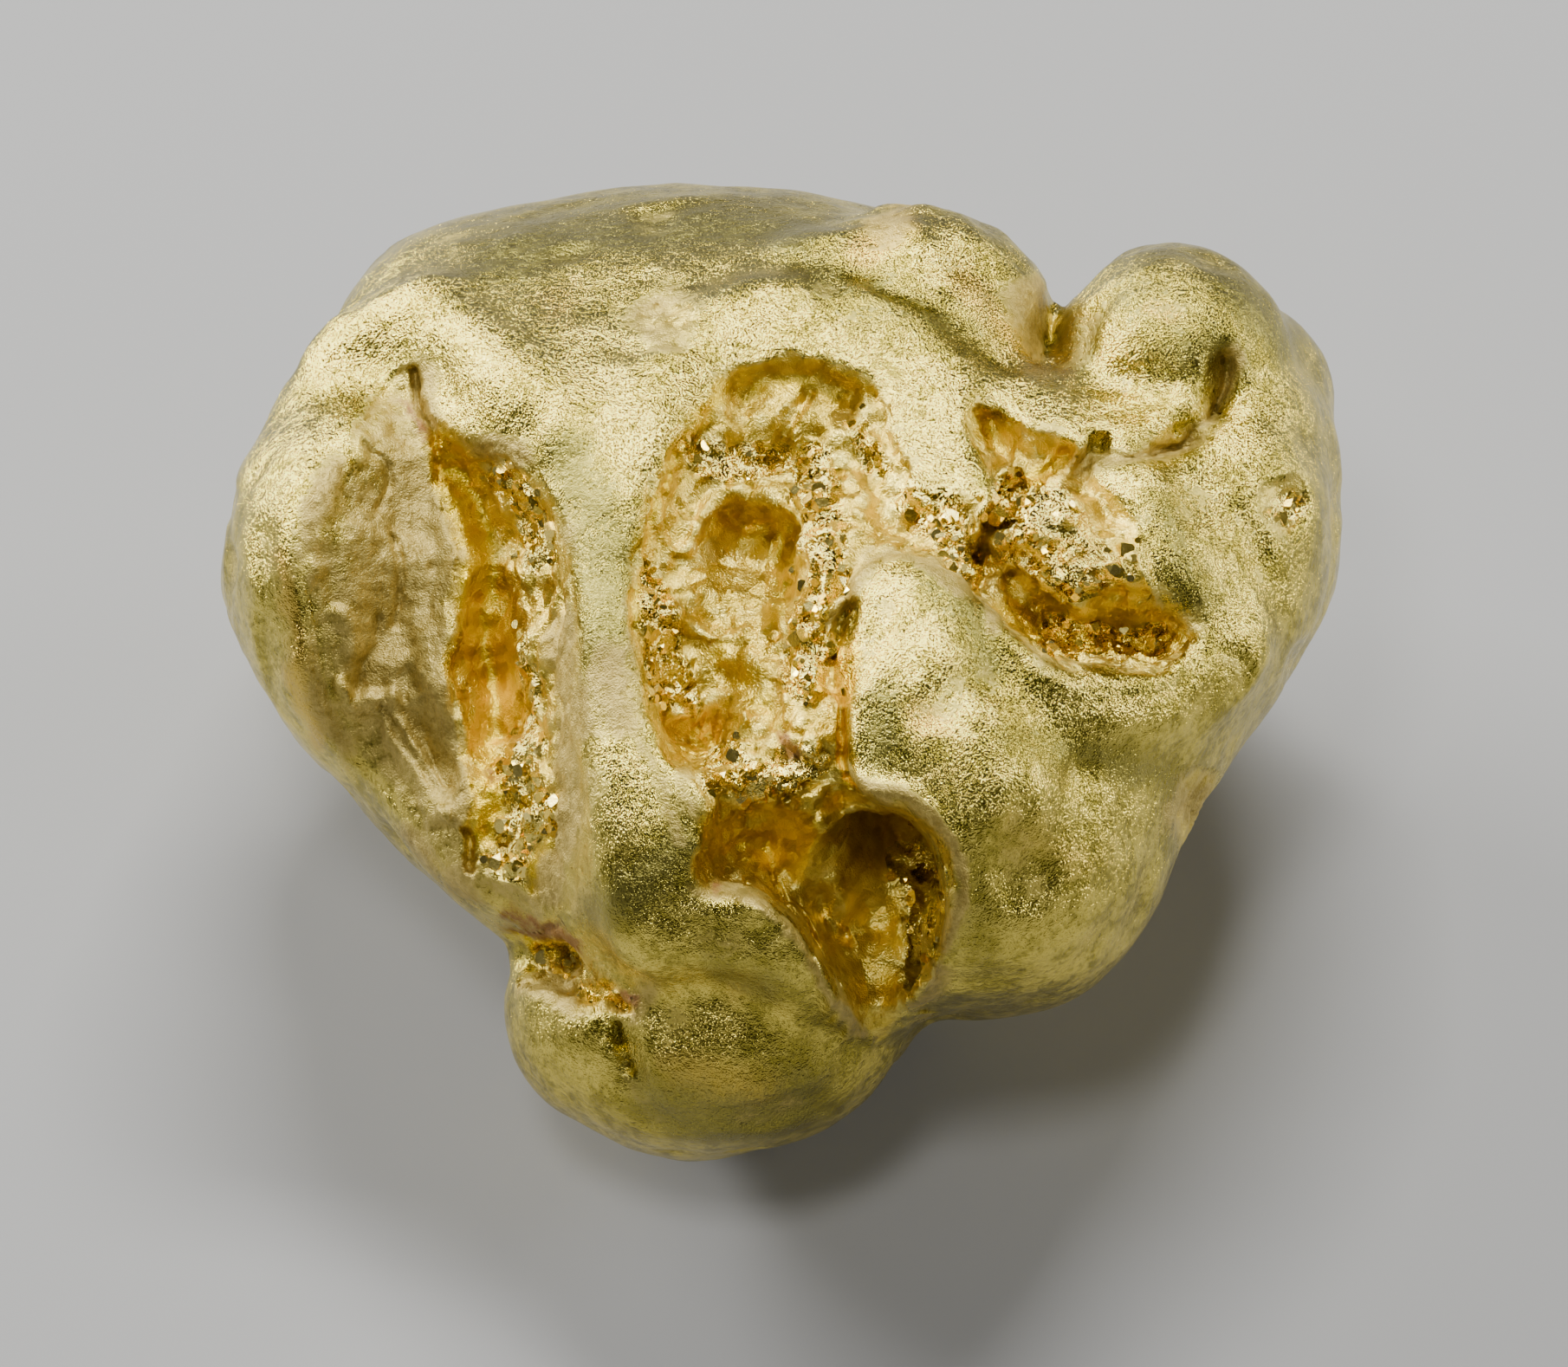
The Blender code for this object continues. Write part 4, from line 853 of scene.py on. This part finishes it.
@dataclass
class Nugget:
    """The nugget: the solid's form at a finer grain, with its rims, cracks, crust and dents sculpted."""

    node: str = "gold_nugget"
    grain: float = 0.145
    rounding: int = 5
    rolling: int = 13
    fine_margin: float = 0.25
    lump_size: float = 0.75
    lump_rise: float = 0.24
    crust_size: float = 0.42
    crust_lean: float = 0.26
    seam_depth: float = 0.09
    dent_size: float = 1.5
    dent_rise: float = 0.060
    ripple_size: float = 0.55
    ripple_rise: float = 0.022
    strata_size: float = 0.55
    strata_rise: float = 0.085
    boss: tuple[float, float, float] = (2.3, 6.7, 1.5)
    dimple_size: float = 1.10
    dimple_rise: float = 0.075
    wander_size: float = 0.90
    wander_reach: float = 0.20
    piece: bpy.types.Object | None = field(default=None, init=False)

    def build(self) -> bpy.types.Object:
        """Makes the nugget's piece, dressed and riding on the frame.

        Returns:
            The finished piece.
        """
        self.piece = self._copy_of_solid()
        apply_modifier(self.piece, "REMESH", mode="VOXEL", voxel_size=self.grain * MM)
        apply_modifier(self.piece, "SMOOTH", factor=0.5, iterations=self.rounding)
        self._roll_rims()
        self._refine()
        self._sculpt()
        self._keep_in_box()
        self.piece.data.materials.clear()
        self.piece.data.materials.append(NativeGold().material())
        self.piece.data.shade_smooth()
        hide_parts(self.node)
        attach(self.piece, "root")
        return self.piece

    def _copy_of_solid(self) -> bpy.types.Object:
        """A copy of the solid's mesh with its loose triangles merged."""
        source = bpy.data.objects[self.node]
        copy = bpy.data.objects.new("worn_nugget", source.data.copy())
        bpy.context.collection.objects.link(copy)
        only(copy)
        bpy.ops.object.mode_set(mode="EDIT")
        bpy.ops.mesh.select_all(action="SELECT")
        bpy.ops.mesh.remove_doubles(threshold=1e-6)
        bpy.ops.mesh.normals_make_consistent(inside=False)
        bpy.ops.object.mode_set(mode="OBJECT")
        return copy

    @staticmethod
    def _on_face(places: np.ndarray, normals: np.ndarray) -> np.ndarray:
        """How much each place lies on the face, not round the back."""
        return fade(places[:, 2] + FACE.slope * places[:, 1], 0.0, 0.9) * fade(normals[:, 2], -0.7, -0.2)

    def _roll_rims(self) -> None:
        """Rounds the stretches of rim that roll over softly."""
        places = FACE.from_object(corners_of(self.piece.data))
        shares = np.max([roll.share_at(places[:, :2]) for roll in ROLLS], axis=0)
        shares *= self._on_face(places, normals_of(self.piece.data) @ np.array(FACE.axes()))
        group = self.piece.vertex_groups.new(name="rolled")
        for index in np.flatnonzero(shares > 0.05):
            group.add([int(index)], float(shares[index]), "REPLACE")
        apply_modifier(self.piece, "SMOOTH", factor=0.5, iterations=self.rolling, vertex_group="rolled")
        self.piece.vertex_groups.clear()

    def _refine(self) -> None:
        """Divides the mesh once more in the hollows and along the folds."""
        mesh = self.piece.data
        places = FACE.from_object(corners_of(mesh))
        near = np.max([hollow.depth_in(places[:, :2]) for hollow in HOLLOWS], axis=0) > -self.fine_margin
        near |= np.max([fold.share_at(places[:, :2]) for fold in FOLDS], axis=0) > 0
        near &= self._on_face(places, normals_of(mesh) @ np.array(FACE.axes())) > 0
        only(self.piece)
        bpy.ops.object.mode_set(mode="EDIT")
        bpy.ops.mesh.select_mode(type="FACE")
        bpy.ops.mesh.select_all(action="DESELECT")
        bpy.ops.object.mode_set(mode="OBJECT")
        corner_indices = np.empty(len(mesh.polygons) * 4, np.int32)
        mesh.polygons.foreach_get("vertices", corner_indices)
        mesh.polygons.foreach_set("select", near[corner_indices.reshape(-1, 4)].all(axis=1))
        bpy.ops.object.mode_set(mode="EDIT")
        bpy.ops.mesh.subdivide(number_cuts=1, smoothness=1.0)
        bpy.ops.object.mode_set(mode="OBJECT")

    def _sculpt(self) -> None:
        """Moves the vertices: first the large relief, then the crust, and keeps the stains."""
        mesh = self.piece.data
        resting = fade(corners_of(mesh)[:, 2] / MM, 0.05, 0.5)
        places = FACE.from_object(corners_of(mesh))
        normals = normals_of(mesh) @ np.array(FACE.axes())
        flat = self._wandered(places)
        front = self._on_face(places, normals)

        depths = [hollow.depth_in(flat) for hollow in HOLLOWS]
        within = fade(np.max(depths, axis=0), -0.05, 0.10) * front
        crust = np.max([fade(gap, 0.0, 0.20) * hollow.crust for hollow, gap in zip(HOLLOWS, depths)], axis=0) * front
        ledge = fade(depths[0], 0.0, 0.25) * (1 - fade(depths[1], -0.15, 0.15)) * front

        rolled = np.max([roll.share_at(flat) for roll in ROLLS], axis=0)
        crispness = np.clip(0.55 + noise_at(places, 1.3, 71.0) * 1.1, 0.1, 1.2) * (1 - 0.9 * rolled)
        out = np.zeros(len(places))
        for hollow, gap in zip(HOLLOWS, depths):
            out += hollow.lip * np.exp(-np.abs(gap) / 0.16) * np.where(gap > 0, -1.0, 0.6) * crispness
        cracks = np.zeros(len(places))
        for fold in FOLDS:
            share = fold.share_at(flat)
            out += fold.rise * share
            if fold.rise < -0.2:
                cracks = np.maximum(cracks, share)
        places[:, 2] += out * front

        stains = self._stains(flat, depths)
        sparkling = np.clip(0.66 + 0.50 * stains[Stain.GLINT], 0, 1) * (1 - stains[Stain.SMOOTH])
        seams, along = self._crust_relief(places, crust * sparkling)
        rough = np.exp(-((np.hypot(flat[:, 0] - self.boss[0], flat[:, 1] - self.boss[1]) / self.boss[2]) ** 4)) * front
        dents = noise_at(places, self.dent_size, 11.0) * self.dent_rise
        ripples = noise_at(places, self.ripple_size, 23.0) * self.ripple_rise
        pitted = fade(noise_at(places, self.dimple_size, 91.0), 0.12, 0.60) * (1 - within)
        along += (1 - within) * (dents + ripples * (1 + 4.5 * rough)) - pitted * self.dimple_rise * (2.2 - front)
        strata = noise_at(places * np.array([1.0, 0.40, 1.0]), self.strata_size, 31.0)
        strata += 0.5 * noise_at(places, self.strata_size * 0.4, 37.0)
        along += ledge * strata * self.strata_rise
        set_corners(mesh, FACE.to_object(places + normals * (along * resting)[:, None]))

        shore = 0.62 + 0.38 * fade(depths[0], 0.2, 1.5)
        stains[Stain.CLAY] = np.maximum(stains[Stain.CLAY], np.maximum(ledge * shore, cracks * 0.2))
        # The seams are kept only so that the material can paint shade into them.
        stains[Stain.SEAM] = seams * crust
        stains[Stain.CRUST] = within * (1 - ledge)
        stains = {stain: values * front for stain, values in stains.items()}
        stains[Stain.CLAY] = np.maximum(stains[Stain.CLAY], pitted * (0.85 - 0.45 * front))
        for stain, values in stains.items():
            store(mesh, stain.value, np.clip(values, 0, 1))

    def _wandered(self, places: np.ndarray) -> np.ndarray:
        """Each vertex's (across, up), moved a little so that drawn lines look natural."""
        shifts = [
            noise_at(places, self.wander_size, seed) + 0.4 * noise_at(places, self.wander_size * 0.35, seed + 3.0)
            for seed in (41.0, 57.0)
        ]
        return places[:, :2] + self.wander_reach * np.array(shifts).T

    def _crust_relief(self, places: np.ndarray, crust: np.ndarray) -> tuple[np.ndarray, np.ndarray]:
        """The crust's grains.

        Args:
            places: each vertex in face millimetres.
            crust: how crystalline it is there.

        Returns:
            How deep each vertex lies in a seam, from 0 to 1, and how far it moves out, in millimetres.
        """
        chosen = np.flatnonzero(crust > 0.01)
        insets, leans = grains_at(places[chosen], self.crust_size, 3.1)
        small_insets, small_leans = grains_at(places[chosen], self.crust_size * 0.45, 7.7)
        lumps = noise_at(places[chosen], self.lump_size, 5.0)
        relief = lumps * self.lump_rise + leans * self.crust_lean + small_leans * self.crust_lean * 0.5
        relief -= (1 - insets) * self.seam_depth + (1 - small_insets) * self.seam_depth * 0.25
        seams = np.zeros(len(places))
        along = np.zeros(len(places))
        seams[chosen] = 1 - insets
        along[chosen] = relief * crust[chosen]
        return seams, along

    @staticmethod
    def _stains(flat: np.ndarray, depths: list[np.ndarray]) -> dict[Stain, np.ndarray]:
        """Where each stain, and each stroke of painted shade, glow or highlight, lies.

        Args:
            flat: each vertex's (across, up).
            depths: how far in from each hollow's rim it lies.

        Returns:
            How strong each stain is there.
        """
        stains = {stain: np.zeros(len(flat)) for stain in Stain}
        level = np.column_stack([flat, np.zeros(len(flat))])
        patches = np.clip(0.75 + noise_at(level, 0.9, 83.0) * 1.2, 0.1, 1.1)
        for tint in TINTS:
            stains[tint.stain] = np.maximum(stains[tint.stain], tint.share_at(flat))
        for hollow, gap in zip(HOLLOWS, depths):
            band = np.exp(-((gap / 0.30) ** 2)) * hollow.stain * patches
            stains[Stain.CLAY] = np.maximum(stains[Stain.CLAY], band)
        return stains

    def _keep_in_box(self) -> None:
        """Holds the piece inside the solid's box."""
        low = np.array(CAD_BOX[0])
        high = np.array(CAD_BOX[1])
        set_corners(self.piece.data, np.clip(corners_of(self.piece.data), low, high))


@dataclass
class HollowCrystals:
    """The small gold crystals that line the hollows, each a blunt octahedron or a cube with cut corners."""

    count: int = 320
    smallest: float = 0.050
    largest: float = 0.120
    seed: int = 7

    def build(self, ground: bpy.types.Object) -> bpy.types.Object:
        """Makes one piece of all the crystals, set on the nugget's hollows.

        Args:
            ground: the dressed nugget, whose surface they grow from.

        Returns:
            The finished piece.
        """
        shapes = [self._shape(cut) for cut in (0.18, 0.30, 0.46)]
        seats = self._seats(ground)
        points: list[np.ndarray] = []
        faces: list[list[int]] = []
        tones: list[float] = []
        draw = random.Random(self.seed)
        used = 0
        for place, normal, size, tone in seats:
            corners, sides = draw.choice(shapes)
            turned = self._turned(corners, normal, draw) * size
            points.append(turned + place)
            faces += [[corner + used for corner in side] for side in sides]
            tones += [tone] * len(corners)
            used += len(corners)
        mesh = bpy.data.meshes.new("hollow_crystals")
        mesh.from_pydata(FACE.to_object(np.vstack(points)), [], faces)
        store(mesh, "tone", np.array(tones))
        piece = bpy.data.objects.new("hollow_crystals", mesh)
        bpy.context.collection.objects.link(piece)
        mesh.materials.append(CrystalGold().material())
        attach(piece, "root")
        return piece

    @staticmethod
    def _shape(cut: float) -> tuple[np.ndarray, list[list[int]]]:
        """A cube whose corners are cut off, modelled once.

        Args:
            cut: how much of each edge its corners lose, from 0 to 0.5.

        Returns:
            Its corners and its faces.
        """
        bpy.ops.object.select_all(action="DESELECT")
        bpy.ops.mesh.primitive_cube_add(size=2.0)
        cube = bpy.context.active_object
        bpy.ops.object.mode_set(mode="EDIT")
        bpy.ops.mesh.select_all(action="SELECT")
        bpy.ops.mesh.bevel(offset=2.0 * cut, segments=1, affect="VERTICES")
        bpy.ops.mesh.remove_doubles(threshold=1e-4)
        bpy.ops.mesh.normals_make_consistent(inside=False)
        bpy.ops.object.mode_set(mode="OBJECT")
        corners = corners_of(cube.data)
        faces = [list(face.vertices) for face in cube.data.polygons]
        bpy.data.objects.remove(cube, do_unlink=True)
        return corners / np.abs(corners).max(), faces

    @staticmethod
    def _turned(corners: np.ndarray, normal: np.ndarray, draw: random.Random) -> np.ndarray:
        """The corners, leaning from the surface's normal by a random turn."""
        axis = Vector([draw.uniform(-1, 1) for _ in range(3)])
        turn = Matrix.Rotation(draw.uniform(0, math.tau), 3, axis)
        upright = Vector(normal).to_track_quat("Z", "Y").to_matrix()
        return corners @ np.array(upright @ turn).T

    def _seats(self, ground: bpy.types.Object) -> list[tuple[np.ndarray, np.ndarray, float, float]]:
        """Where crystals sit: place, normal, size and tone of each."""
        mesh = ground.data
        places = FACE.from_object(corners_of(mesh))
        normals = normals_of(mesh) @ np.array(FACE.axes())
        crust = kept_on(mesh, Stain.CRUST)
        glint = kept_on(mesh, Stain.GLINT)
        odds = crust * (glint + 0.03) ** 1.6 * (1 - kept_on(mesh, Stain.SMOOTH))
        chosen = np.random.default_rng(self.seed).choice(len(places), self.count, replace=False, p=odds / odds.sum())
        draw = random.Random(self.seed + 1)
        seats = []
        for index in chosen:
            size = self.smallest + (self.largest - self.smallest) * draw.random() ** 2.2
            sunk = size * draw.uniform(-0.65, -0.20)
            seats.append((places[index] + normals[index] * sunk, normals[index], size, draw.random()))
        return seats


# ---------------------------------------------------------------- the studio


@dataclass(frozen=True)
class SoftBox:
    """A soft light: where it hangs in the face's axes, how far off, its sides in metres, its brightness."""

    name: str
    heading: tuple[float, float, float]
    distance: float
    sides: tuple[float, float]
    brightness: float

    def hang(self) -> None:
        """Makes the light and points it at the nugget."""
        lamp = bpy.data.lights.new(self.name, "AREA")
        lamp.shape = "RECTANGLE"
        lamp.size, lamp.size_y = self.sides
        lamp.energy = self.brightness * math.pi * self.sides[0] * self.sides[1]
        holder = bpy.data.objects.new(self.name, lamp)
        bpy.context.collection.objects.link(holder)
        aim = (FACE.axes() @ Vector(self.heading)).normalized()
        holder.location = FACE.place(0, 0, 0) + aim * self.distance
        holder.rotation_euler = aim.to_track_quat("Z", "Y").to_euler()
        holder.visible_camera = False


@dataclass
class Studio:
    """A pale floor, soft lights and a dim room."""

    floor_side: float = 3.0
    room: Colour = (1.0, 0.98, 0.94)
    room_strength: float = 0.05
    lights: tuple[SoftBox, ...] = (
        SoftBox("overhead", (0.05, 0.93, 0.35), 0.24, (0.13, 0.045), 44.0),
        SoftBox("left", (-0.74, 0.66, -0.10), 0.24, (0.12, 0.050), 46.0),
        SoftBox("right", (0.90, 0.42, 0.10), 0.24, (0.06, 0.06), 26.0),
        SoftBox("front", (-0.15, 0.30, 0.95), 0.24, (0.045, 0.045), 30.0),
        SoftBox("behind", (-0.10, 0.50, -0.90), 0.50, (0.25, 0.15), 1.5),
    )

    def build(self) -> None:
        """Makes the floor, the lights and the world."""
        bpy.ops.object.select_all(action="DESELECT")
        bpy.ops.mesh.primitive_plane_add(size=self.floor_side)
        floor = bpy.context.active_object
        floor.name = "floor"
        floor.data.materials.append(PaleFloor().material())
        for light in self.lights:
            light.hang()
        world = bpy.data.worlds.new("room")
        world.use_nodes = True
        backdrop = world.node_tree.nodes["Background"]
        backdrop.inputs["Color"].default_value = (*self.room, 1.0)
        backdrop.inputs["Strength"].default_value = self.room_strength
        bpy.context.scene.world = world


@dataclass
class Camera:
    """A long lens square to the face."""

    distance: float = 0.25
    sensor: float = 36.0
    field_width: float = 0.02514
    aim: Point = (0.04, -0.19)

    def build(self) -> None:
        """Makes the camera and points it."""
        camera = bpy.data.cameras.new("camera")
        camera.sensor_width = self.sensor
        camera.lens = self.sensor * self.distance / self.field_width
        camera.clip_start = 0.01
        holder = bpy.data.objects.new("camera", camera)
        bpy.context.collection.objects.link(holder)
        stance = FACE.axes().to_4x4()
        stance.translation = FACE.place(*self.aim, self.distance / MM)
        holder.matrix_world = stance
        bpy.context.scene.camera = holder


def main() -> None:
    """Builds the pieces in order."""
    logging.basicConfig(level=logging.INFO, format="%(name)s: %(message)s")
    nugget = Nugget().build()
    LOG.info("%s: %d faces", nugget.name, len(nugget.data.polygons))
    crystals = HollowCrystals().build(nugget)
    LOG.info("%s: %d faces", crystals.name, len(crystals.data.polygons))
    Studio().build()
    Camera().build()


if __name__ == "__main__":
    main()
